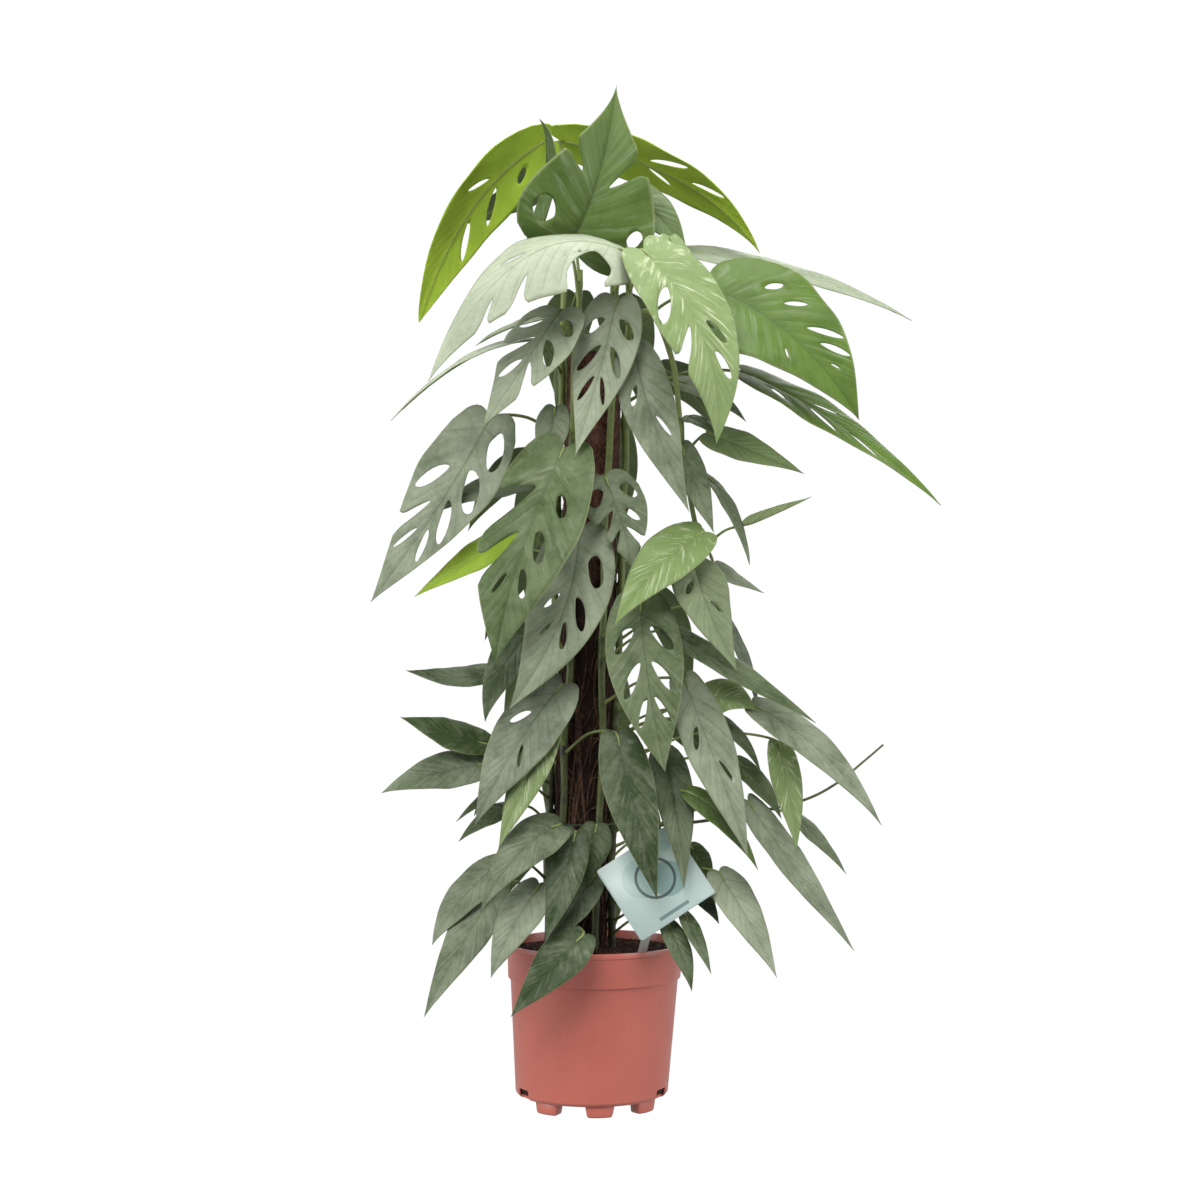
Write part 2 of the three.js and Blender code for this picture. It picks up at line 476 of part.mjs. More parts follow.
// The blade: one sheet of triangles, doubled at its thickness and walled along every free edge.
function blade(leaf) {
  const rows = bladeRows(leaf);
  const points = [];
  const faces = [];
  const addPoint = (s, t, side) => points.push(bladePoint(leaf, s, t, side)) - 1;
  const base = addPoint(0, 0, 1);
  const tip = addPoint(1, 0, 1);
  const spine = rows.map((row) => addPoint(row.s, 0, 1));

  [1, -1].forEach((side, sideIndex) => {
    const addFace = (a, b, c) => faces.push(side > 0 ? [a, b, c] : [a, c, b]);
    const lines = rows.map((row, r) => {
      const { cut, shares } = row.sides[sideIndex];
      const lower = [spine[r]];
      const upper = [spine[r]];
      for (const t of shares.slice(1)) {
        const half = cut ? openingAt(cut, t) : 0;
        const first = addPoint(row.s - half, t, side);
        lower.push(first);
        upper.push(half > 0 ? addPoint(row.s + half, t, side) : first);
      }
      return { lower, upper };
    });
    const first = lines[0].lower;
    const last = lines[lines.length - 1].upper;
    for (let i = 0; i + 1 < first.length; i++) {
      addFace(base, first[i + 1], first[i]);
      addFace(last[i], last[i + 1], tip);
    }
    for (let r = 0; r + 1 < lines.length; r++) {
      const near = lines[r].upper;
      const far = lines[r + 1].lower;
      for (let i = 0; i + 1 < near.length; i++) {
        addFace(near[i], near[i + 1], far[i + 1]);
        addFace(near[i], far[i + 1], far[i]);
      }
    }
  });

  const position = [];
  for (const lift of [BLADE / 2, -BLADE / 2]) {
    for (const { point, normal } of points) {
      position.push(...point.clone().addScaledVector(normal, lift).toArray());
    }
  }
  const index = [];
  const under = points.length;
  const edges = new Set(faces.flatMap(([a, b, c]) => [`${a} ${b}`, `${b} ${c}`, `${c} ${a}`]));
  for (const [a, b, c] of faces) {
    index.push(a, b, c, under + a, under + c, under + b);
    for (const [from, to] of [[a, b], [b, c], [c, a]]) {
      if (edges.has(`${to} ${from}`)) continue;
      index.push(to, from, under + from, to, under + from, under + to);
    }
  }
  const geometry = new THREE.BufferGeometry();
  geometry.setAttribute('position', new THREE.Float32BufferAttribute(position, 3));
  geometry.setIndex(index);
  return solidOf(geometry);
}

// Leaf stalk: it leaves the stem, arches up and sinks into the blade along its midrib.
function stalk(leaf, start) {
  const reach = leaf.base.distanceTo(start);
  const middle = start.clone().lerp(leaf.base, 0.5);
  middle.z += 0.12 * reach;
  const { tangent } = midrib(leaf, 0);
  const end = leaf.base.clone().addScaledVector(tangent, STALK_SUNK);
  const nodding = tangent.dot(leaf.base.clone().sub(start)) < 0;
  return bar([start, middle, leaf.base, end], STALK_RADIUS, STALK_SIDES, nodding ? NODDING_STEPS : STALK_STEPS);
}

function readLeaf([name, node, base, mid, tip, face, width, fold, cuts, taper = TIP_POWER]) {
  const [start, middle, end, facing] = [base, mid, tip, face].map(vec);
  return { name, node, base: start, mid: middle, tip: end, face: facing, width, fold, cuts, taper };
}

// Point of a branch's line nearest to a height.
function routeAt(route, z) {
  const path = new THREE.CatmullRomCurve3(route.map(vec), false, 'centripetal');
  const places = path.getSpacedPoints(60);
  return places.reduce((best, p) => (Math.abs(p.z - z) < Math.abs(best.z - z) ? p : best));
}

// Every piece of a vine before they are fused: [name, solid] pairs.
export function vinePieces(vine) {
  const pieces = [['stem', stem(vine)]];
  for (const row of vine.leaves) {
    const leaf = readLeaf(row);
    pieces.push([leaf.name, blade(leaf)]);
    pieces.push([`${leaf.name} stalk`, stalk(leaf, stemAt(vine, leaf.node))]);
  }
  if (vine.branch) {
    const { route, leaves } = vine.branch;
    pieces.push(['branch', bar(route.map(vec), BRANCH_RADIUS, STEM_SIDES, STEM_STEPS)]);
    for (const row of leaves) {
      const leaf = readLeaf(row);
      pieces.push([leaf.name, blade(leaf)]);
      pieces.push([`${leaf.name} stalk`, stalk(leaf, routeAt(route, leaf.node))]);
    }
  }
  if (vine.tendril) pieces.push(['tendril', bar(vine.tendril.map(vec), 1.8, 4, 9)]);
  return pieces;
}

// A young leaf with its stalk cut to a seat on the stem that carries it.
export function youngLeaf([name, vineName, colour, ...row]) {
  const vine = VINES[vineName];
  const leaf = readLeaf([name, ...row]);
  const onBranch = vine.branch && leaf.node > 590 && leaf.node < 700;
  const start = onBranch ? routeAt(vine.branch.route, leaf.node) : stemAt(vine, leaf.node);
  const carrier = onBranch
    ? bar(vine.branch.route.map(vec), BRANCH_RADIUS + SEAT, STEM_SIDES, STEM_STEPS)
    : stem(vine, STEM_RADIUS + SEAT);
  return join([blade(leaf), stalk(leaf, start)]).subtract(carrier);
}

function pot() {
  const inner = (r) => r - POT_WALL;
  const shell = turned([
    [0, POT_BOTTOM],
    [WALL_BOTTOM_RADIUS - CORNER, POT_BOTTOM],
    [WALL_BOTTOM_RADIUS, POT_BOTTOM + CORNER],
    [WALL_TOP_RADIUS, BAND_BOTTOM],
    [BAND_BOTTOM_RADIUS, BAND_BOTTOM],
    [BAND_TOP_RADIUS, LIP_BOTTOM],
    [LIP_RADIUS, LIP_BOTTOM],
    [LIP_RADIUS, POT_TOP],
    [inner(BAND_TOP_RADIUS), POT_TOP],
    [inner(BAND_BOTTOM_RADIUS), BAND_BOTTOM + 2],
    [inner(WALL_TOP_RADIUS), BAND_BOTTOM],
    [inner(WALL_BOTTOM_RADIUS), POT_BOTTOM + CORNER + 1],
    [0, POT_BOTTOM + 2],
  ], POT_SEGMENTS);
  const parts = [shell, turned([[0, 0], [PAD_RADIUS, 0], [PAD_RADIUS, POT_BOTTOM + 1], [0, POT_BOTTOM + 1]], 16)];
  for (const angle of FOOT_ANGLES) {
    const outline2d = new THREE.Shape([
      new THREE.Vector2(FOOT_INNER, -FOOT_WIDTH / 2 + 4),
      new THREE.Vector2(FOOT_OUTER - 3, -FOOT_WIDTH / 2),
      new THREE.Vector2(FOOT_OUTER, 0),
      new THREE.Vector2(FOOT_OUTER - 3, FOOT_WIDTH / 2),
      new THREE.Vector2(FOOT_INNER, FOOT_WIDTH / 2 - 4),
    ]);
    const foot = new THREE.ExtrudeGeometry(outline2d, { depth: POT_BOTTOM + 1, bevelEnabled: false });
    foot.rotateZ(THREE.MathUtils.degToRad(angle));
    parts.push(solidOf(foot.applyMatrix4(ASKEW)));
  }
  const notches = NOTCH_ANGLES.map((turn) => box(2 * NOTCH_DEPTH, NOTCH_WIDTH, 2 * NOTCH_TOP, (g) => {
    g.translate(WALL_BOTTOM_RADIUS, 0, 0).rotateZ(THREE.MathUtils.degToRad(turn)).applyMatrix4(ASKEW);
  }));
  return notches.reduce((whole, notch) => whole.subtract(notch), join(parts));
}

// A tube along the pole's lean, between two heights.
function poleTube(outer, bore, low, high) {
  const length = high - low;
  const geometry = new THREE.LatheGeometry([
    new THREE.Vector2(bore, 0), new THREE.Vector2(outer, 0),
    new THREE.Vector2(outer, length), new THREE.Vector2(bore, length), new THREE.Vector2(bore, 0),
  ], POLE_SIDES);
  geometry.rotateX(Math.PI / 2);
  const lean = new THREE.Quaternion().setFromUnitVectors(
    new THREE.Vector3(0, 0, 1), vec(POLE_HEAD).sub(vec(POLE_FOOT)).normalize(),
  );
  geometry.applyQuaternion(lean);
  geometry.translate(...poleAt(low).toArray());
  return solidOf(geometry);
}

function poleRod(radius, low, high) {
  const points = [poleAt(low), poleAt(high)];
  return bar(points, radius, POLE_SIDES, 1);
}

function tie() {
  const ring = new THREE.TorusGeometry(TIE_RADIUS, TIE_THICKNESS, 4, 18);
  const middle = poleAt(TIE_HEIGHT);
  ring.translate(middle.x, middle.y, TIE_HEIGHT);
  return solidOf(ring);
}

// Turns a flat piece that faces -Y so that it faces along the label's own direction.
function faceLabel(geometry) {
  const turn = new THREE.Quaternion().setFromUnitVectors(new THREE.Vector3(0, -1, 0), vec(CARD_FACING).normalize());
  geometry.applyQuaternion(turn);
  return geometry.translate(...CARD_CENTRE);
}

function labelCard() {
  return box(CARD_WIDTH, CARD_THICKNESS, CARD_HEIGHT, (g) => {
    g.rotateY(THREE.MathUtils.degToRad(CARD_TURN));
    faceLabel(g);
  });
}

// The stake runs from the soil to the back of the card, flat against it. Its hole in the soil is
// the same shape a little larger and deeper.
function labelStake(width = STAKE_WIDTH, thickness = STAKE_THICKNESS, deeper = 0) {
  const away = vec(CARD_FACING).normalize().multiplyScalar(-(CARD_THICKNESS + STAKE_THICKNESS) / 2 - SEAT);
  const head = vec(CARD_CENTRE).add(away);
  const foot = vec(STAKE_FOOT);
  const up = head.clone().sub(foot);
  const back = vec(CARD_FACING).normalize();
  const across = up.clone().normalize().cross(back).normalize();
  const bend = head.clone().add(new THREE.Vector3(-1, 0, -STAKE_BEND).projectOnPlane(back));
  const section = (middle) => {
    const out = back.clone().multiplyScalar(thickness / 2);
    const wide = across.clone().multiplyScalar(width / 2);
    return [
      middle.clone().sub(wide).sub(out), middle.clone().add(wide).sub(out),
      middle.clone().add(wide).add(out), middle.clone().sub(wide).add(out),
    ];
  };
  const top = head.clone().add(new THREE.Vector3(1, 0, 26).projectOnPlane(back));
  const rings = [foot.clone().addScaledVector(up.clone().normalize(), -deeper), bend, top].map(section);
  const position = rings.flat().flatMap((p) => p.toArray());
  const index = [0, 2, 1, 0, 3, 2, 8, 9, 10, 8, 10, 11];
  for (let ring = 0; ring < 2; ring++) {
    for (let i = 0; i < 4; i++) {
      const a = ring * 4 + i;
      const b = ring * 4 + ((i + 1) % 4);
      index.push(a, b, b + 4, a, b + 4, a + 4);
    }
  }
  const geometry = new THREE.BufferGeometry();
  geometry.setAttribute('position', new THREE.Float32BufferAttribute(position, 3));
  geometry.setIndex(index);
  return solidOf(geometry);
}

// Soil fills the pot and has a plain hole for the pole, each stem and the label's stake.
function soil() {
  const inner = (r) => r - POT_WALL - SEAT;
  const slope = (BAND_BOTTOM_RADIUS - BAND_TOP_RADIUS) / (BAND_BOTTOM - LIP_BOTTOM);
  const body = turned([
    [0, POT_BOTTOM + 2 + SEAT],
    [inner(WALL_BOTTOM_RADIUS) - 0.4, POT_BOTTOM + CORNER + 1.6],
    [inner(WALL_TOP_RADIUS) - 0.1, BAND_BOTTOM - 0.4],
    [inner(BAND_BOTTOM_RADIUS) - 0.3, BAND_BOTTOM + 2.5],
    [inner(BAND_BOTTOM_RADIUS) - 0.3 + slope * (SOIL_TOP - BAND_BOTTOM - 2.5), SOIL_TOP],
    [0, SOIL_TOP + SOIL_RISE],
  ], POT_SEGMENTS);
  const holes = [poleRod(WRAP_RADIUS + SEAT + 0.4, POLE_FOOT[2] - 1, 260)];
  for (const vine of Object.values(VINES)) {
    const foot = STEM_FOOT - 0.5;
    holes.push(bar([stemAt(vine, foot), stemAt(vine, 150), stemAt(vine, 190)], STEM_RADIUS + 1.4, 6, 2));
  }
  holes.push(labelStake(STAKE_WIDTH + 1.2, STAKE_THICKNESS + 1.2, 0.5));
  return holes.reduce((whole, hole) => whole.subtract(hole), body);
}

const plant = new THREE.Group();

function addPiece(name, solid, colour, roughness) {
  const material = new THREE.MeshStandardMaterial({ color: COLOURS[colour], roughness, metalness: 0 });
  const mesh = new THREE.Mesh(geometryOf(solid), material);
  mesh.name = name;
  plant.add(mesh);
}

addPiece('pot', pot(), 'terracotta', 0.45);
addPiece('soil', soil(), 'soil', 0.95);
addPiece('pole_core', poleTube(CORE_RADIUS, CORE_BORE, POLE_FOOT[2], POLE_HEAD[2] - 2), 'tube', 0.6);
addPiece('pole_wrap', poleTube(WRAP_RADIUS, CORE_RADIUS + SEAT + 0.4, POLE_FOOT[2], POLE_HEAD[2]), 'coir', 0.95);
addPiece('stem_tie', tie(), 'tie', 0.6);
addPiece('label_card', labelCard(), 'card', 0.5);
addPiece('label_stake', labelStake(), 'stake', 0.5);
for (const [name, vine] of Object.entries(VINES)) {
  addPiece(name, join(vinePieces(vine).map(([, solid]) => solid)), 'leaf', 0.5);
}
for (const row of YOUNG_LEAVES) {
  addPiece(row[0], youngLeaf(row), row[2], 0.45);
}

export { VINES, YOUNG_LEAVES };
export default plant;
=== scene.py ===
"""Potted cebu blue pothos on a coir pole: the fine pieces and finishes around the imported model.

Sizes in the tables are millimetres; every mesh is written in metres, +Z up and -Y to the front.
"""

import math

import bmesh
import bpy
import numpy as np
from mathutils import Matrix, Vector


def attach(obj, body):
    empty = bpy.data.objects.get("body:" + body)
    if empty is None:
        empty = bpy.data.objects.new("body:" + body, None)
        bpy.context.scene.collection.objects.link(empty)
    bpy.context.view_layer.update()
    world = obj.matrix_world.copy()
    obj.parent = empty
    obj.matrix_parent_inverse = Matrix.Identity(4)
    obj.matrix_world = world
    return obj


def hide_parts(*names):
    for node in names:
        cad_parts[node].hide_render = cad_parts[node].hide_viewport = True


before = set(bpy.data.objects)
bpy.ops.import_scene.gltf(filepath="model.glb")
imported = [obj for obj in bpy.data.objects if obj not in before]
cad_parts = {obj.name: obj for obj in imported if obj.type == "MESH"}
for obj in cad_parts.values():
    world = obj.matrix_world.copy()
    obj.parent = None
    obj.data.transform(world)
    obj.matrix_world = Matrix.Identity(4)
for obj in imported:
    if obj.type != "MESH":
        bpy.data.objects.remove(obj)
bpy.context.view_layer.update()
MM = 0.001

# Nursery pot.
POT_SEGMENTS = 168
POT_WALL = 1.6
POT_TOP = 174
LIP_BOTTOM = 168
BAND_BOTTOM = 137
POT_BOTTOM = 12.5
LIP_RADIUS = 95
BAND_TOP_RADIUS = 94
BAND_BOTTOM_RADIUS = 92.6
WALL_TOP_RADIUS = 90
WALL_BOTTOM_RADIUS = 81.8
FOOT_ANGLES = (-130, -83, -38, 50, 97, 142)
FOOT_TOP_WIDTH = 33
FOOT_BOTTOM_WIDTH = 27
FOOT_INNER = 60
FOOT_OUTER = 77
FOOT_SHIFT = 3.9
PAD_RADIUS = 14
NOTCH_ANGLES = (-152, -26, 28, 152)
NOTCH_WIDTH = 21
NOTCH_TOP = 23
NOTCH_DEPTH = 5
FOOT_BEVEL = 2.4
NOTCH_BEVEL = 1.6
PAD_BEVEL = 1
POT_CREASE = 38

# Potting soil.
SOIL_TOP = 165.5
SOIL_RISE = 5
SOIL_RADIUS = 91.2
SOIL_FOOT_RADIUS = 79.4
SOIL_HEAVE = 0.7
SOIL_LUMPS = 0.5
SOIL_SEGMENTS = 120
STREWN_SEGMENTS = 48

# Pole, from its foot in the soil to its head.
POLE_FOOT = (-22, 0, 26)
POLE_HEAD = (0, 0, 806)
FELT_RADIUS = 28.6
FELT_BORE = 26.2
FELT_FOLDS = 0.6
FELT_PITS = 0.25
FELT_EDGE = 1.2
FELT_ROWS = 230
FELT_COLUMNS = 84
FELT_CREASE = 60
SEAM_TURN = 1.9
SEAM_WIDTH = 0.05
SEAM_HEIGHT = 1.1
TIE_HEIGHT = 303
TIE_RADIUS = 41.5
TIE_THICKNESS = 1.1
TIE_CORNER = -118
TIE_TAIL = 9

# Aerial roots: heights at which they leave the stems, and how many longer ones run down the pole.
ROOTS_FOOT = 185
ROOTS_TOP = 600
ROOTS_STEP = 17
DENSE_ROOTS_TOP = 470
LONG_ROOTS = 34
ROOT_SEED = 77
ROOT_LIFT = 0.9

# Plant label.
CARD_WIDTH = 92
CARD_HEIGHT = 86
CARD_THICKNESS = 0.9
CARD_CORNER = 3
CARD_EDGE = 0.2
CARD_CENTRE = (63, -94, 249)
CARD_FACING = (0.03, -0.97, 0.22)
CARD_TURN = -33
STAKE_WIDTH = 9
STAKE_THICKNESS = 1.6
STAKE_FOOT = (38, -38, 120)
STAKE_BEND = 20
STAKE_OVERLAP = 26
STAKE_GAP = 0.3
STAKE_ROUNDING = 0.35
LABEL_CREASE = 50

# Stems and leaf stalks; the arch of a stalk is a share of its reach.
STEM_RADIUS = 3.8
STEM_RING = 35
STEM_FOOT = 120
STEM_SIDES = 9
STEM_TAPER = 0.4
YOUNG_END = 160
WOODY_TOP = 250
FRESH_RISE = 550
NODE_LENGTH = 5.5
NODE_SWELL = 0.2
SHOOT_RADIUS = 3.4
TENDRIL_RADIUS = 1.8
STALK_RADIUS = 1.6
STALK_END = 12
STALK_ARCH = 0.12
STALK_TAPER = 0.45
SHEATH_LENGTH = 9
SHEATH_SWELL = 0.55
JOINT_LENGTH = 4
JOINT_SWELL = 0.28

# Leaf blades. Heights of ripples and quilting and the droop are shares of the half width.
BLADE = 0.66
BLADE_GRIDS = (
    # least half width, rows, columns in a half, side veins
    (34, 50, 17, 13),
    (22, 34, 12, 11),
    (0, 26, 9, 9),
)
CHANNEL_SHARES = (0, 0.035)
INNER_SHARE = 0.1
INNER_COLUMNS = 0.24
OUTER_COLUMNS = 0.22
TIP_CROWDING = 1.25
BASE_CROWDING = 1.5
LOBE_CROWDING = 3.2
LOBE_ROWS = 6
SLIT_FLARE = 0.03
LARGE_WIDTH = 50
BASE_POWER = 0.52
TIP_POWER = 1.2
LOBE = 0.585
LOBE_REACH = 0.09
VEIN_SLANT = 0.832
LAST_VEIN = 0.8
RIPPLE_COUNTS = (1.7, 4.1)
RIPPLE_HEIGHT = 0.045
QUILT_HEIGHT = 0.011
MARGIN_DROOP = 0.12
CHANNEL_WIDTH = 2.6
CHANNEL_DEPTH = 0.9
MIDRIB_RADIUS = 1.05
WELD = 0.001
VEIN_UV = "vein_place"
TONE = "leaf_tone"
SKIN = "stem_skin"

# Openings in a blade, as stations from the leaf's base to its tip: place along the midrib, then the
# opening on either side as (start, end, half height), with the midrib at 0 and the margin at 1. One that
# ends beyond the margin is a slit, and 0 is none.
CUTS = {
    "whole": (),
    "pair": (
        (0.2, (0.22, 0.66, 0.03), 0),
        (0.4, 0, (0.2, 0.7, 0.028)),
    ),
    "few": (
        (0.12, (0.3, 0.62, 0.022), 0),
        (0.3, (0.2, 0.8, 0.028), (0.2, 0.6, 0.02)),
        (0.5, (0.22, 0.88, 0.034), 0),
    ),
    "fan": (
        (0.14, 0, (0.42, 0.66, 0.015)),
        (0.24, 0, (0.42, 0.72, 0.016)),
        (0.4, (0.5, 0.7, 0.008), (0.42, 0.96, 0.022)),
        (0.5, 0, (0.46, 0.97, 0.026)),
        (0.64, 0, (0.4, 0.62, 0.01)),
    ),
    "window": (
        (0.12, (0.22, 0.78, 0.034), (0.2, 0.78, 0.036)),
        (0.3, (0.18, 0.88, 0.04), (0.18, 0.86, 0.042)),
        (0.5, (0.2, 0.86, 0.038), (0.18, 0.84, 0.034)),
    ),
    "deep": (
        (0.1, (0.24, 0.84, 0.04), (0.22, 0.8, 0.04)),
        (0.28, (0.2, 1.5, 0.045), (0.2, 0.86, 0.05)),
        (0.48, (0.22, 0.88, 0.046), (0.2, 1.5, 0.05)),
    ),
    "split": (
        (0.1, (0.26, 0.84, 0.05), (0.3, 0.8, 0.045)),
        (0.3, (0.22, 1.5, 0.055), (0.22, 0.76, 0.044)),
        (0.5, (0.26, 1.5, 0.04), (0.22, 1.4, 0.05)),
    ),
    "crest": (
        (0.1, (0.66, 0.86, 0.026), (0.42, 0.8, 0.05)),
        (0.36, (0.34, 1.7, 0.034), (0.5, 1.2, 0.024)),
    ),
    "sail": (
        (0.13, 0, (0.24, 1.1, 0.085)),
        (0.42, (0.24, 0.6, 0.018), (0.5, 1.6, 0.024)),
        (0.6, 0, (0.5, 1.3, 0.016)),
    ),
    "bib": (
        (0.12, 0, (0.3, 0.74, 0.05)),
        (0.3, (0.25, 0.6, 0.02), (0.26, 0.8, 0.04)),
        (0.46, (0.25, 0.6, 0.02), (0.2, 0.66, 0.044)),
    ),
    "lobes": (
        (0.14, (0.2, 1.6, 0.05), (0.3, 0.6, 0.03)),
        (0.32, (0.24, 1.6, 0.04), (0.2, 0.62, 0.05)),
        (0.5, (0.3, 0.7, 0.022), (0.2, 0.66, 0.05)),
    ),
    "lattice": (
        (0.08, 0, (0.3, 0.78, 0.05)),
        (0.23, (0.3, 0.88, 0.04), (0.22, 0.88, 0.054)),
        (0.4, (0.34, 1.4, 0.034), (0.2, 0.9, 0.05)),
        (0.56, (0.3, 0.88, 0.026), (0.24, 0.86, 0.044)),
    ),
    "gate": (
        (0.16, (0.2, 0.9, 0.036), 0),
        (0.34, (0.3, 1.3, 0.035), (0.3, 0.72, 0.036)),
        (0.5, 0, (0.3, 0.82, 0.045)),
    ),
}

# Climbing stems: angle round the pole in degrees and height of the top.
STEMS = {
    "vine_front_left": (-125, 880),
    "vine_front_right": (-60, 890),
    "vine_left": (180, 900),
    "vine_right": (-12, 915),
    "vine_back_left": (120, 900),
    "vine_back_right": (50, 880),
}

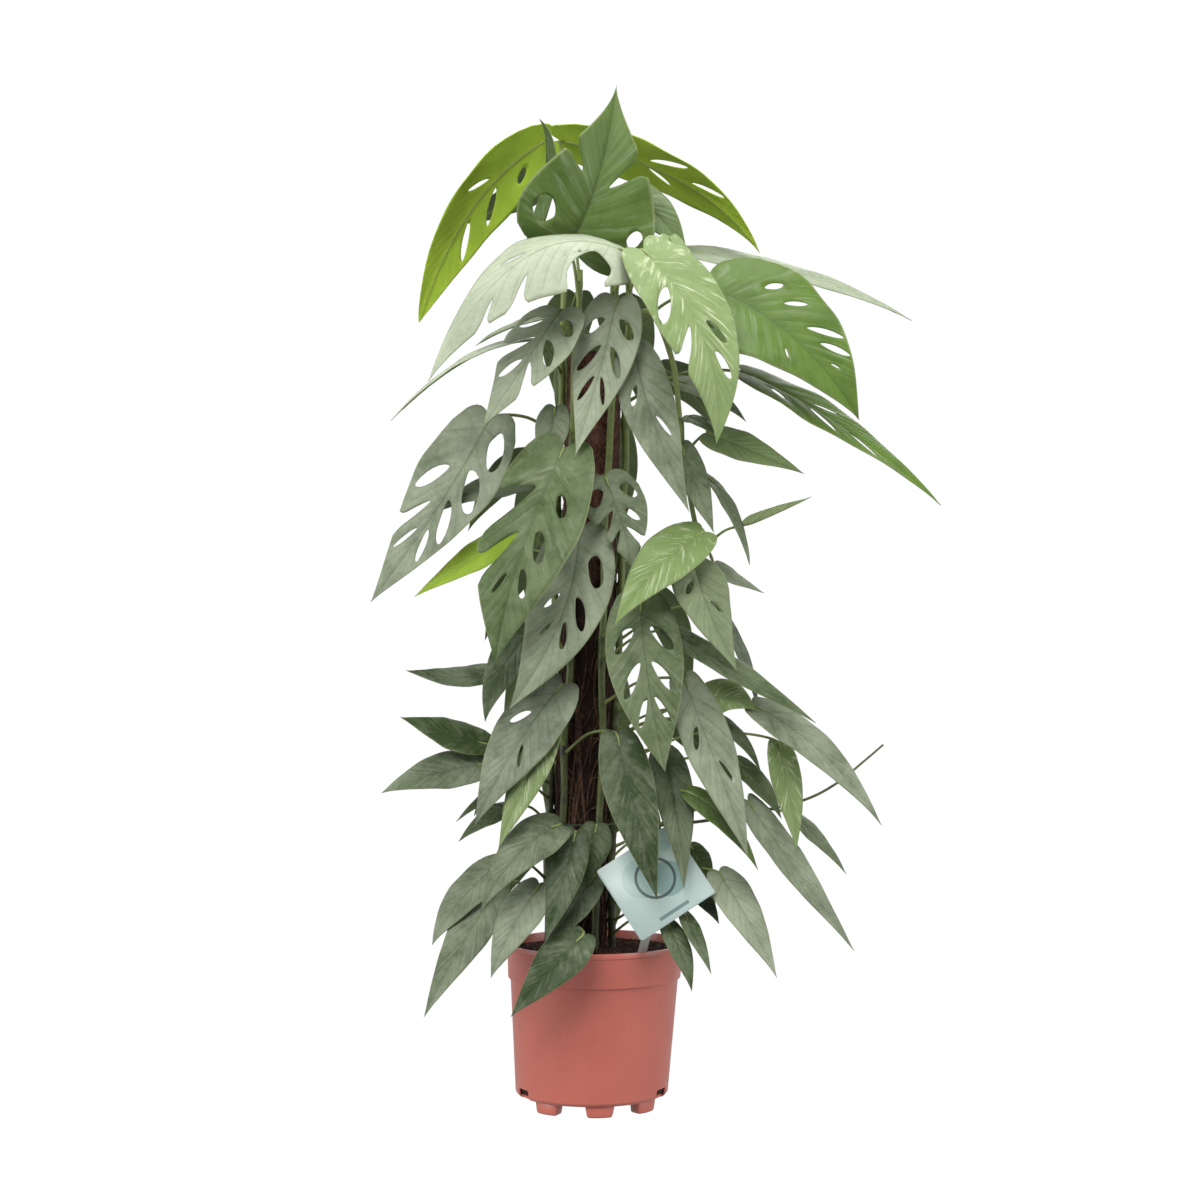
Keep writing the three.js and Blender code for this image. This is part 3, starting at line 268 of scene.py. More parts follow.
# Leaves by stem: name, height of the node, base, middle and tip of the midrib, direction of the upper
# face, half width, fold of the halves, and for some the openings and the taper of the tip.
LEAVES = {
    "vine_front_left": (
        ("crown", 866, (-27, -44, 916), (4, -70, 985), (23, -52, 1084),
            (0.3, -0.9, 0.15), 74, 0.4, "crest", 1.6),
        ("shoulder", 800, (-36, -95, 841), (-68, -120, 789), (-115, -130, 717),
            (-0.4, -0.8, 0.4), 42, 0.1, "deep"),
        ("sliver", 815, (-55, -45, 838), (-90, -52, 828), (-126, -55, 809), (-0.3, -0.3, 0.9), 14, 0.2),
        ("heart", 712, (-41, -75, 742), (-46, -86, 708), (-49, -90, 676), (-0.3, -0.9, 0.3), 19, 0.15),
        ("breast", 648, (-32, -100, 697), (-77, -140, 581), (-101, -150, 477),
            (-0.2, -0.9, 0.4), 53, 0.12, "lobes"),
        ("bib", 572, (-16, -90, 614), (-36, -118, 520), (-88, -125, 429),
            (-0.1, -0.95, 0.3), 43, 0.1, "bib"),
        ("fork", 636, (10, -85, 669), (28, -100, 620), (39, -105, 574),
            (0.2, -0.9, 0.4), 33, 0.15, "split"),
        ("dusk", 478, (-59, -75, 515), (-95, -92, 470), (-114, -100, 415), (-0.4, -0.75, 0.5), 25, 0.15),
        ("flank", 412, (-34, -85, 453), (-83, -108, 387), (-123, -120, 310),
            (-0.3, -0.85, 0.4), 36, 0.12, "pair"),
        ("apron", 378, (23, -105, 402), (42, -128, 322), (64, -135, 235), (0.1, -0.95, 0.3), 27, 0.12),
        ("spoon", 268, (-36, -100, 309), (-77, -128, 283), (-117, -140, 224), (-0.2, -0.8, 0.55), 27, 0.12),
        ("drip", 214, (-57, -105, 247), (-84, -128, 206), (-106, -140, 157), (-0.2, -0.85, 0.45), 23, 0.12),
        ("plumb", 256, (-20, -95, 301), (-34, -118, 248), (-50, -130, 192), (-0.1, -0.95, 0.3), 20, 0.15),
        ("curtain", 226, (0, -70, 252), (-26, -92, 218), (-55, -106, 176), (-0.3, -0.8, 0.5), 20, 0.12),
        ("bowl", 184, (-12, -116, 198), (-46, -136, 164), (-86, -138, 117), (-0.2, -0.85, 0.5), 25, 0.1),
    ),
    "vine_front_right": (
        ("sail", 848, (34, -108, 898), (-70, -155, 887), (-168, -165, 761),
            (-0.2, -0.68, 0.7), 58, -0.28, "sail"),
        ("ribbon", 812, (23, -75, 854), (5, -105, 778), (-20, -115, 690),
            (-0.1, -0.95, 0.3), 34, 0.12, "window"),
        ("lance", 764, (40, -80, 803), (62, -108, 721), (97, -120, 631),
            (0.1, -0.9, 0.35), 29, 0.14, "pair"),
        ("pleat", 500, (46, -105, 541), (56, -125, 449), (72, -130, 365),
            (0.1, -0.95, 0.25), 40, 0.1, "window"),
        ("train", 430, (93, -88, 457), (127, -115, 366), (157, -125, 278),
            (0.3, -0.85, 0.4), 28, 0.12, "pair"),
        ("blade", 474, (78, -70, 509), (151, -95, 464), (228, -110, 415), (0.3, -0.6, 0.75), 20, 0.15),
        ("button", 274, (2, -70, 306), (-4, -82, 276), (-10, -90, 245), (-0.1, -0.95, 0.3), 19, 0.1),
    ),
    "vine_left": (
        ("quill", 868, (-66, -30, 915), (-42, -44, 998), (-60, -40, 1050), (-0.8, -0.4, 0), 16, 0.5),
        ("ghost", 890, (-50, 46, 1016), (-94, 70, 982), (-156, 84, 957), (-0.3, 0.4, 0.85), 33, 0.1),
        ("spear", 782, (-62, -60, 814), (-133, -65, 794), (-214, -70, 729), (-0.3, -0.2, 0.93), 24, 0.15),
        ("wing", 716, (-110, -60, 732), (-164, -80, 637), (-233, -90, 539),
            (-0.25, -0.85, 0.45), 49, 0.1, "lattice"),
        ("tongue", 634, (-70, -50, 664), (-122, -56, 656), (-177, -62, 628), (-0.3, -0.6, 0.7), 22, 0.15),
        ("dart", 438, (-98, -45, 466), (-150, -60, 460), (-197, -70, 468), (-0.1, -0.6, 0.8), 19, 0.15),
        ("fin", 376, (-112, -50, 389), (-158, -62, 402), (-203, -70, 419), (0, -0.65, 0.75), 24, 0.15),
        ("keel", 342, (-112, -60, 369), (-168, -75, 360), (-222, -85, 341), (-0.1, -0.75, 0.65), 25, 0.15),
        ("snip", 326, (-91, -40, 350), (-119, -52, 331), (-146, -60, 309), (-0.4, -0.6, 0.7), 9, 0.1),
        ("shade", 300, (-88, -48, 325), (-114, -62, 312), (-143, -70, 289), (-0.4, -0.6, 0.7), 16, 0.1),
        ("slope", 240, (-100, -75, 267), (-141, -90, 228), (-169, -95, 184), (-0.4, -0.7, 0.6), 24, 0.12),
        ("hem", 212, (-100, -88, 245), (-137, -112, 186), (-175, -128, 115), (-0.3, -0.8, 0.5), 25, 0.12),
    ),
    "vine_right": (
        ("palm", 822, (120, -52, 868), (206, -84, 814), (273, -104, 727),
            (0.25, -0.8, 0.55), 71, 0.22, "fan"),
        ("mantle", 856, (24, -30, 968), (62, -46, 950), (98, -56, 902), (0.2, -0.9, 0.4), 28, 0.12),
        ("reach", 892, (104, 0, 915), (222, -2, 890), (340, -8, 841), (0.25, -0.45, 0.86), 28, 0.12),
        ("arm", 752, (157, -40, 782), (257, -62, 725), (361, -80, 640), (0.4, -0.46, 0.86), 40, 0.1, "few"),
        ("smoke", 728, (87, -10, 775), (125, -20, 760), (161, -30, 731), (0.3, -0.6, 0.7), 18, 0.12),
        ("violet", 498, (128, -30, 536), (157, -44, 480), (172, -56, 422), (0.6, -0.6, 0.5), 11, 0.15),
        ("pike", 402, (124, -52, 420), (152, -66, 396), (174, -74, 361), (0.4, -0.6, 0.6), 11, 0.15),
        ("long", 392, (167, -75, 430), (235, -95, 383), (296, -105, 309), (0.35, -0.75, 0.55), 23, 0.12),
        ("tassel", 352, (70, -84, 384), (84, -102, 326), (92, -112, 243), (0.2, -0.9, 0.3), 22, 0.15),
        ("deep", 336, (148, -50, 372), (174, -60, 346), (196, -65, 312), (0.3, -0.6, 0.7), 16, 0.12),
        ("moss", 306, (96, -104, 343), (134, -113, 314), (168, -117, 264), (0.3, -0.7, 0.6), 16, 0.12),
        ("spur", 276, (210, -30, 314), (238, -40, 286), (266, -45, 252), (0.5, -0.5, 0.7), 14, 0.12),
        ("rail", 292, (160, -70, 330), (210, -88, 260), (269, -95, 178), (0.5, -0.7, 0.5), 22, 0.15),
        ("inner", 252, (100, -45, 282), (113, -54, 266), (125, -60, 247), (0.3, -0.8, 0.5), 13, 0.1),
        ("drop", 226, (129, -68, 256), (157, -92, 213), (188, -106, 152), (0.35, -0.8, 0.45), 23, 0.12),
        ("ink", 214, (100, -60, 242), (117, -70, 224), (130, -75, 203), (0.3, -0.8, 0.5), 10, 0.1),
        ("foot", 182, (74, -84, 207), (90, -106, 176), (100, -115, 139), (0.3, -0.85, 0.4), 13, 0.1),
        ("toe", 196, (92, -84, 216), (106, -104, 190), (120, -114, 157), (0.4, -0.8, 0.4), 10, 0.1),
    ),
    "vine_back_left": (
        ("back_1", 850, (-22, 78, 880), (-36, 118, 830), (-42, 138, 760), (-0.3, 0.85, 0.45), 30, 0.12),
        ("back_2", 672, (-70, 56, 702), (-106, 78, 672), (-142, 88, 618), (-0.5, 0.7, 0.5), 26, 0.12),
        ("back_3", 660, (-40, 86, 700), (-62, 124, 622), (-78, 142, 535),
            (-0.35, 0.88, 0.35), 38, 0.12, "pair"),
        ("back_4", 566, (-72, 58, 596), (-98, 82, 552), (-124, 98, 496), (-0.6, 0.7, 0.4), 24, 0.12),
        ("back_5", 482, (-46, 80, 520), (-76, 108, 470), (-104, 124, 408), (-0.4, 0.8, 0.45), 25, 0.12),
        ("back_6", 346, (-72, 66, 380), (-106, 88, 345), (-136, 98, 300), (-0.5, 0.7, 0.5), 22, 0.12),
        ("back_7", 384, (-26, 90, 420), (-42, 118, 362), (-56, 132, 298), (-0.25, 0.9, 0.35), 25, 0.12),
        ("back_8", 272, (-22, 88, 308), (-38, 118, 256), (-52, 134, 192), (-0.2, 0.9, 0.4), 24, 0.12),
        ("back_9", 232, (-72, 74, 262), (-104, 98, 222), (-130, 108, 172), (-0.5, 0.7, 0.5), 21, 0.12),
    ),
    "vine_back_right": (
        ("back_10", 842, (24, 76, 876), (40, 120, 832), (50, 146, 762), (0.25, 0.85, 0.45), 32, 0.12),
        ("back_11", 796, (-4, 88, 836), (-12, 128, 756), (-22, 144, 664),
            (-0.1, 0.92, 0.4), 38, 0.12, "few"),
        ("back_12", 772, (70, 60, 800), (104, 86, 776), (136, 100, 730), (0.5, 0.7, 0.5), 26, 0.12),
        ("back_13", 696, (16, 88, 736), (14, 128, 658), (4, 144, 566), (0.05, 0.92, 0.35), 32, 0.12),
        ("back_14", 568, (76, 54, 600), (104, 76, 562), (122, 90, 510), (0.5, 0.7, 0.5), 24, 0.12),
        ("back_15", 572, (12, 92, 612), (10, 126, 532), (2, 140, 448), (0.05, 0.95, 0.3), 34, 0.12, "pair"),
        ("back_16", 524, (66, 70, 552), (90, 98, 498), (108, 116, 436), (0.4, 0.8, 0.45), 24, 0.12),
        ("back_17", 434, (8, 88, 470), (16, 120, 404), (22, 136, 332), (0.1, 0.9, 0.35), 27, 0.12),
        ("back_18", 378, (82, 64, 410), (124, 88, 372), (160, 98, 318), (0.5, 0.7, 0.5), 22, 0.12),
        ("back_19", 304, (32, 84, 340), (54, 112, 286), (70, 128, 222), (0.25, 0.88, 0.4), 24, 0.12),
        ("back_20", 250, (72, 72, 282), (108, 98, 240), (138, 110, 184), (0.5, 0.7, 0.5), 21, 0.12),
        ("back_21", 206, (10, 94, 240), (12, 122, 196), (12, 132, 142), (0, 0.92, 0.4), 21, 0.12),
    ),
}

# Side shoot of the right-hand stem with its leaves, the heights between which young leaves sit on it
# too, and the bare shoot low on the right.
SHOOT = (
    (34, -12, 838), (58, -36, 846), (80, -42, 800),
    (93, -42, 700), (106, -42, 622), (116, -44, 592),
)
SHOOT_LEAVES = (
    ("mint", 690, (117, -62, 715), (162, -75, 698), (218, -80, 673), (0.2, -0.75, 0.6), 22, 0.12),
    ("night", 700, (92, -78, 731), (110, -88, 725), (130, -94, 708), (0.2, -0.5, 0.85), 13, 0.15),
    ("claw", 680, (90, -72, 703), (106, -82, 658), (124, -85, 611), (0.3, -0.85, 0.4), 18, 0.12),
    ("hook", 640, (116, -52, 672), (142, -60, 637), (163, -62, 578),
        (0.5, -0.4, 0.75), 14, 0.15, "whole", 0.9),
    ("grey", 610, (126, -38, 580), (145, -46, 565), (178, -55, 549), (0.3, -0.6, 0.7), 13, 0.12),
    ("cloak", 600, (103, -88, 582), (116, -112, 534), (146, -120, 468),
        (0.3, -0.85, 0.4), 31, 0.12, "pair"),
)
SHOOT_STEM = "vine_right"
SHOOT_SPAN = (590, 700)
TENDRIL = (
    (20, -7, 296), (120, -20, 306), (220, -40, 329),
    (254, -40, 346), (284, -40, 370), (305, -40, 388),
)

# Young leaves: name, stem that carries it, colour, then as in LEAVES.
YOUNG_LEAVES = (
    ("leaf_lime_left", "vine_left", "lime", 878, (-52, 5, 1037), (-132, -10, 960), (-188, -25, 836),
        (-0.5, 0.75, 0.43), 37, -0.15, "few", 0.9),
    ("leaf_lime_right", "vine_back_left", "lime", 884, (-38, 25, 1040), (93, 15, 995), (178, 0, 914),
        (0.2, 0.42, 0.85), 41, 0.08, "few"),
    ("leaf_light_variegated", "vine_front_right", "young", 868, (50, -114, 900), (111, -148, 804),
        (123, -155, 698), (0.25, -0.85, 0.45), 44, 0.12, "gate"),
    ("leaf_light_upper", "vine_right", "young", 872, (78, -82, 918), (97, -98, 872), (124, -106, 822),
        (0.4, -0.7, 0.5), 20, 0.1),
    ("leaf_lime_side", "vine_left", "lime", 582, (-89, -60, 612), (-133, -76, 581), (-188, -85, 545),
        (-0.3, -0.75, 0.6), 21, 0.1),
    ("leaf_light_front", "vine_right", "young", 612, (112, -84, 612), (64, -125, 574), (20, -145, 516),
        (-0.1, -0.85, 0.5), 30, 0.12),
    ("leaf_rolled", "vine_right", "young", 596, (158, -50, 620), (186, -55, 631), (227, -60, 650),
        (-0.3, -0.5, 0.8), 8, 0.7),
    ("leaf_light_inner", "vine_right", "young", 420, (112, -64, 436), (140, -76, 440), (168, -84, 426),
        (0.1, -0.8, 0.6), 24, 0.1),
    ("leaf_light_hanging", "vine_right", "young", 364, (192, -60, 392), (203, -75, 338), (210, -85, 281),
        (0.2, -0.95, 0.25), 17, 0.1),
    ("leaf_light_low", "vine_front_left", "young", 386, (-46, -95, 417), (-72, -116, 354), (-99, -125, 287),
        (-0.25, -0.9, 0.35), 21, 0.1),
)

# How silvery each leaf is, from 0 deep green to 1 pale silver, and how warm its green is. Leaves that
# aren't named have the plain finish, and the stems' leaves differ from theirs by a random spread.
FINISH = {
    "crown": (0.3, 0.8), "shoulder": (0.66, 0.1), "sliver": (0.6, 0.2), "heart": (0.4, 0.2),
    "breast": (0.26, 0.4), "bib": (0.5, 0.15), "fork": (0.4, 0.2), "dusk": (0.1, 0.1),
    "flank": (0.3, 0), "apron": (0.1, 0.1), "spoon": (0.3, 0.1), "drip": (0.44, 0.05),
    "plumb": (0.14, 0.1), "curtain": (0.18, 0.1), "bowl": (0.12, 0.1),
    "sail": (0.84, 0.05), "ribbon": (0.85, 0.1), "lance": (0.4, 0.1), "pleat": (0.2, 0.35),
    "train": (0.58, 0.1), "blade": (0.2, 0.25), "button": (0.1, 0.2),
    "quill": (0.06, 0.5), "ghost": (1, 0), "spear": (0.95, 0.05), "wing": (0.36, 0.05),
    "tongue": (0.6, 0.2), "dart": (0.14, 0.1), "fin": (0.1, 0.2), "keel": (0.26, 0.1),
    "snip": (0.16, 0.3), "shade": (0.1, 0.1), "slope": (0.42, 0.1), "hem": (0.36, 0.1),
    "palm": (0.08, 0.9), "mantle": (0.3, 0.6), "reach": (0.74, 0.15), "arm": (0.2, 1),
    "smoke": (0.6, 0.1), "violet": (0.24, 0), "pike": (0.24, 0.2), "long": (0.46, 0.1),
    "tassel": (0.3, 0.2), "deep": (0.1, 0.3), "moss": (0.16, 0.6), "spur": (0.24, 0.2),
    "rail": (0.42, 0.1), "inner": (0.1, 0.3), "drop": (0.62, 0.1), "ink": (0.04, 0.1),
    "foot": (0.1, 0.2), "toe": (0.14, 0.2), "mint": (0.5, 0.7), "night": (0.06, 0.1),
    "claw": (0.3, 0.2), "hook": (0.3, 0.2), "grey": (0.6, 0.1), "cloak": (0.5, 0.45),
    "leaf_lime_left": (0.25, 0.5), "leaf_lime_right": (0.3, 0.5), "leaf_lime_side": (0.35, 0.4),
    "leaf_light_variegated": (0.45, 0.5), "leaf_light_upper": (0.5, 0.4), "leaf_light_front": (0.3, 0.6),
    "leaf_rolled": (0.6, 0.4), "leaf_light_inner": (0.3, 0.4), "leaf_light_hanging": (0.4, 0.5),
    "leaf_light_low": (0.35, 0.3),
}
PLAIN_FINISH = (0.32, 0.2)
FINISH_SPREAD = 0.08

scene = bpy.context.scene


def colour(red, green, blue):
    """A colour as a screen shows it, 0 to 255 a channel, as linear values."""
    def linear(value):
        share = value / 255
        return share / 12.92 if share <= 0.04045 else ((share + 0.055) / 1.055) ** 2.4
    return (linear(red), linear(green), linear(blue), 1)


def unit(vectors):
    """Vectors along the last axis, made one long."""
    return vectors / np.maximum(np.linalg.norm(vectors, axis=-1, keepdims=True), 1e-9)


class Ripple:
    """Smooth seeded unevenness, about -1 to 1, of a given wavelength in millimetres."""

    def __init__(self, seed, wavelength, waves=16):
        draw = np.random.default_rng(seed)
        directions = unit(draw.normal(size=(waves, 3)))
        self.pull = directions * (2 * math.pi / wavelength) * draw.uniform(0.6, 1.5, (waves, 1))
        self.start = draw.uniform(0, 2 * math.pi, waves)
        self.size = math.sqrt(2 / waves)

    def at(self, points):
        return np.sin(points @ self.pull.T + self.start).sum(axis=-1) * self.size


# Shader trees


class Wire:
    """An output socket that takes part in sums, so that a tree's formula reads as one."""

    def __init__(self, nodes, socket):
        self.nodes = nodes
        self.socket = socket

    def __add__(self, other):
        return self.nodes.math("ADD", self, other)

    def __sub__(self, other):
        return self.nodes.math("SUBTRACT", self, other)

    def __mul__(self, other):
        return self.nodes.math("MULTIPLY", self, other)

    def __truediv__(self, other):
        return self.nodes.math("DIVIDE", self, other)

    def __abs__(self):
        return self.nodes.math("ABSOLUTE", self)


class Nodes:
    """Adds nodes to one tree and joins them: a wire, socket or node given as a value is linked."""

    def __init__(self, tree):
        self.tree = tree

    def put(self, kind, *values, sockets=None, **settings):
        """A new node with its settings; values go to its first sockets, sockets to those they name."""
        node = self.tree.nodes.new(kind)
        for name, setting in settings.items():
            setattr(node, name, setting)
        for socket, value in zip(node.inputs, values):
            self.feed(socket, value)
        for label, value in (sockets or {}).items():
            self.feed(node.inputs[label], value)
        return node

    def feed(self, socket, value):
        if isinstance(value, bpy.types.Node):
            value = next(s for s in value.outputs if s.enabled)
        elif isinstance(value, Wire):
            value = value.socket
        if isinstance(value, bpy.types.NodeSocket):
            self.tree.links.new(value, socket)
        elif value is not None:
            socket.default_value = value

    def out(self, node, which=0):
        return Wire(self, node.outputs[which])

    def math(self, operation, first, second=None, clamp=False):
        return self.out(self.put("ShaderNodeMath", first, second, operation=operation, use_clamp=clamp))

    def sweep(self, value, low, high, start=0.0, end=1.0):
        """A smooth step of value from start at low to end at high."""
        return self.out(self.put("ShaderNodeMapRange", value, low, high, start, end,
                                 interpolation_type="SMOOTHSTEP"))

    def mix(self, share, first, second):
        """A colour between two others."""
        return self.out(self.put("ShaderNodeMix", data_type="RGBA",
                                 sockets={0: share, 6: first, 7: second}), 2)

    def noise(self, vector, scale, detail=3.0, roughness=0.5, distortion=0.0):
        return self.out(self.put("ShaderNodeTexNoise", sockets={
            "Vector": vector, "Scale": scale, "Detail": detail, "Roughness": roughness,
            "Distortion": distortion,
        }), "Fac")

    def place(self):
        return self.out(self.put("ShaderNodeTexCoord"), "Object")

    def stretched(self, vector, scale):
        return self.out(self.put("ShaderNodeMapping", vector, sockets={"Scale": scale}))

    def parts(self, vector, kind="XYZ"):
        node = self.put("ShaderNodeSeparate" + kind, vector)
        return [self.out(node, index) for index in range(3)]


def socket_kind(value):
    if isinstance(value, tuple):
        return "NodeSocketColor"
    return "NodeSocketFloat"


def as_colour(value):
    """A shade of three screen numbers as a colour; a plain number stays as it is."""
    return colour(*value) if isinstance(value, tuple) else value


def shader_group(name, inputs, build):
    """A group that gives colour, roughness and height; build joins its nodes and returns the three."""
    tree = bpy.data.node_groups.new(name, "ShaderNodeTree")
    for label, value in inputs.items():
        socket = tree.interface.new_socket(label, in_out="INPUT", socket_type=socket_kind(value))
        socket.default_value = as_colour(value)
    for label, kind in (("Color", "Color"), ("Roughness", "Float"), ("Height", "Float")):
        tree.interface.new_socket(label, in_out="OUTPUT", socket_type="NodeSocket" + kind)
    nodes = Nodes(tree)
    entry = nodes.put("NodeGroupInput")
    given = {label: nodes.out(entry, label) for label in inputs}
    nodes.put("NodeGroupOutput", *build(nodes, given))
    return tree


def leaf_nodes(nodes, given):
    """Leaf skin: a midrib, slanting side veins, silver mottling between them and a paler underside."""
    place = nodes.place()
    along, across, _ = nodes.parts(nodes.put("ShaderNodeUVMap", uv_map=VEIN_UV))
    tones = nodes.put("ShaderNodeAttribute", attribute_name=TONE)
    silver, warm, under = nodes.parts(tones.outputs["Color"], "Color")
    breadth = nodes.out(tones, "Alpha")
    from_midrib = abs(across)

    drifted = along + (nodes.noise(place, 55.0, 2.0) - 0.5) * 0.16
    cell = nodes.math("PINGPONG", drifted, 0.5)
    inner = nodes.sweep(breadth, 0.08, 0.5)
    side_vein = nodes.sweep(cell, 0.0, 0.07, 1.0, 0.0) * nodes.sweep(from_midrib, 0.72, 0.97, 1.0, 0.0)
    midrib = nodes.sweep(from_midrib, given["Rib width"], given["Rib width"] * 2.4, 1.0, 0.0)
    vein = nodes.math("MAXIMUM", side_vein * inner * 0.6, midrib)

    broad = nodes.noise(place, 26.0, 3.0, 0.55)
    mottle = nodes.noise(place, 190.0, 4.0, 0.62)
    streaked = nodes.put("ShaderNodeCombineXYZ", drifted * 2.6, across * breadth * 1.3, silver * 90.0)
    fleck = nodes.sweep(nodes.noise(streaked, 1.6, 3.0, 0.6), 0.52, 0.74) * inner
    patch = nodes.sweep(broad, 0.3, 0.72, -0.12, 0.12) + nodes.sweep(mottle, 0.3, 0.7, -0.045, 0.045)
    quilt = nodes.sweep(cell, 0.0, 0.2, -0.035, 0.01)
    share = nodes.math("ADD", silver, (patch + quilt) * given["Mottling"], clamp=True)
    skin = nodes.mix(share, given["Deep"], given["Silver"])
    skin = nodes.mix(warm * nodes.sweep(broad, 0.25, 0.7, 0.7, 1.0), skin, given["Warm"])
    skin = nodes.mix(fleck * given["Flecks"], skin, given["Fleck"])
    skin = nodes.mix(vein * given["Vein strength"], skin, given["Vein"])
    skin = nodes.mix(nodes.sweep(from_midrib, 0.955, 0.995, 0.0, 0.45), skin, given["Margin"])
    back = nodes.mix(vein * 0.5, given["Under"], given["Margin"])
    back = nodes.mix(nodes.sweep(broad, 0.3, 0.7, 0.0, 0.3), back, given["Deep"])
    skin = nodes.mix(under, skin, back)

    rough = nodes.sweep(mottle, 0.3, 0.7, 0.4, 0.54) + under * 0.16
    swell = nodes.sweep(cell, 0.0, 0.5) * nodes.sweep(from_midrib, 0.05, 0.2) * inner
    return skin, rough, swell * 0.6 - vein * 0.4


def moulded_nodes(nodes, given):
    """Moulded plastic: a fine grain, faint flow streaks, cloudy shading and scuffs."""
    place = nodes.place()
    grain = nodes.noise(place, 1500.0, 3.0, 0.6)
    cloud = nodes.noise(place, 22.0, 4.0, 0.55)
    streak = nodes.noise(nodes.stretched(place, (1.0, 1.0, 0.09)), 160.0, 3.0, 0.6)
    scuff = nodes.noise(nodes.stretched(place, (0.25, 0.25, 1.0)), 420.0, 4.0, 0.7)
    skin = nodes.mix(nodes.sweep(cloud, 0.3, 0.7, 0.0, 0.5), given["Colour"], given["Shade"])
    skin = nodes.mix(nodes.sweep(streak, 0.4, 0.75, 0.0, 0.22), skin, given["Shade"])
    skin = nodes.mix(nodes.sweep(scuff, 0.62, 0.74) * given["Wear"], skin, given["Worn"])
    rough = given["Rough"] + nodes.sweep(cloud, 0.3, 0.7, -0.05, 0.07)
    return skin, rough, (grain + streak) * 0.5


def fibrous_nodes(nodes, given):
    """Matted plant fibre or peat: streaks along the fibres, clumps, dark hollows and a colour that turns
    darker below a given height.
    """
    place = nodes.place()
    strands = nodes.noise(nodes.stretched(place, (1.0, 1.0, 0.35)), given["Strand scale"], 5.0, 0.7, 1.2)
    clumps = nodes.noise(place, given["Clump scale"], 4.0, 0.6)
    specks = nodes.noise(place, 1600.0, 2.0, 0.7)
    skin = nodes.mix(nodes.sweep(strands, 0.32, 0.68), given["Dark"], given["Light"])
    skin = nodes.mix(nodes.sweep(clumps, 0.35, 0.7, 0.0, 0.65), skin, given["Dark"])
    skin = nodes.mix(nodes.sweep(specks, 0.6, 0.75, 0.0, 0.4), skin, given["Light"])
    # Below the Low top height the colour turns towards the Low colour: darker towards the bottom.
    height = nodes.parts(place)[2]
    low = given["Low top"] - height + nodes.sweep(clumps, 0.3, 0.7, -0.03, 0.03)
    skin = nodes.mix(nodes.sweep(low, -0.04, 0.08, 0.0, 0.86), skin, given["Low"])
    return skin, nodes.sweep(strands, 0.3, 0.7, 0.95, 0.78), strands * 0.8 + clumps * 0.5


def stem_nodes(nodes, given):
    """Stem skin: fresh green to woody brown by the skin attribute, with fine lines along it."""
    place = nodes.place()
    fresh = nodes.put("ShaderNodeAttribute", attribute_name=SKIN).outputs["Fac"]
    blotch = nodes.noise(place, 90.0, 3.0, 0.6)
    lines = nodes.noise(nodes.stretched(place, (1.0, 1.0, 0.12)), 900.0, 3.0, 0.6)
    share = nodes.math("ADD", fresh, nodes.sweep(blotch, 0.3, 0.7, -0.14, 0.14), clamp=True)
    skin = nodes.mix(share, given["Woody"], given["Fresh"])
    skin = nodes.mix(nodes.sweep(lines, 0.45, 0.7, 0.0, 0.35), skin, given["Streak"])
    return skin, nodes.sweep(blotch, 0.3, 0.7, 0.42, 0.58), lines * 0.6 + blotch * 0.4


LEAF_SKIN = shader_group("leaf skin", {
    "Deep": (44, 58, 35), "Silver": (168, 177, 154), "Warm": (80, 108, 28), "Vein": (58, 74, 44),
    "Margin": (142, 152, 108), "Under": (104, 120, 82), "Fleck": (172, 180, 160),
    "Flecks": 0.2, "Mottling": 1.2, "Vein strength": 0.34, "Rib width": 0.018,
}, leaf_nodes)
MOULDED = shader_group("moulded plastic", {
    "Colour": (198, 104, 88), "Shade": (188, 94, 78), "Worn": (214, 150, 134), "Wear": 0.05, "Rough": 0.32,
}, moulded_nodes)
FIBROUS = shader_group("matted fibre", {
    "Dark": (44, 30, 24), "Light": (128, 88, 68), "Low": (30, 25, 20), "Low top": -1.0,
    "Strand scale": 420.0, "Clump scale": 60.0,
}, fibrous_nodes)
STEM_SKIN = shader_group("stem skin", {
    "Woody": (54, 54, 36), "Fresh": (140, 156, 88), "Streak": (84, 98, 56),
}, stem_nodes)


def blank_material(name):
    """A new material and the means to add its nodes."""
    material = bpy.data.materials.new(name)
    material.use_nodes = True
    material.node_tree.nodes.clear()
    return material, Nodes(material.node_tree)


def group_node(nodes, group, values):
    """A group in a tree with its own colours and numbers where values name them."""
    named = {label.replace("_", " "): as_colour(value) for label, value in values.items()}
    return nodes.put("ShaderNodeGroup", node_tree=group, sockets=named)


def end_material(nodes, body, skin, bump, depth, shader):
    """Ends a material in a surface: roughness and relief of a group, a colour, and plain sockets."""
    relief = nodes.put("ShaderNodeBump", sockets={
        "Strength": bump, "Distance": depth, "Height": body.outputs["Height"],
    })
    surface = nodes.put("ShaderNodeBsdfPrincipled", sockets={
        "Base Color": skin, "Roughness": body.outputs["Roughness"], "Normal": relief, **shader,
    })
    nodes.put("ShaderNodeOutputMaterial", sockets={"Surface": surface})


def finish(name, group, bump, depth, shader, **values):
    """A material of one group; bump is the strength of its relief and depth how deep that is in metres."""
    material, nodes = blank_material(name)
    body = group_node(nodes, group, values)
    end_material(nodes, body, body.outputs["Color"], bump, depth, shader)
    return material


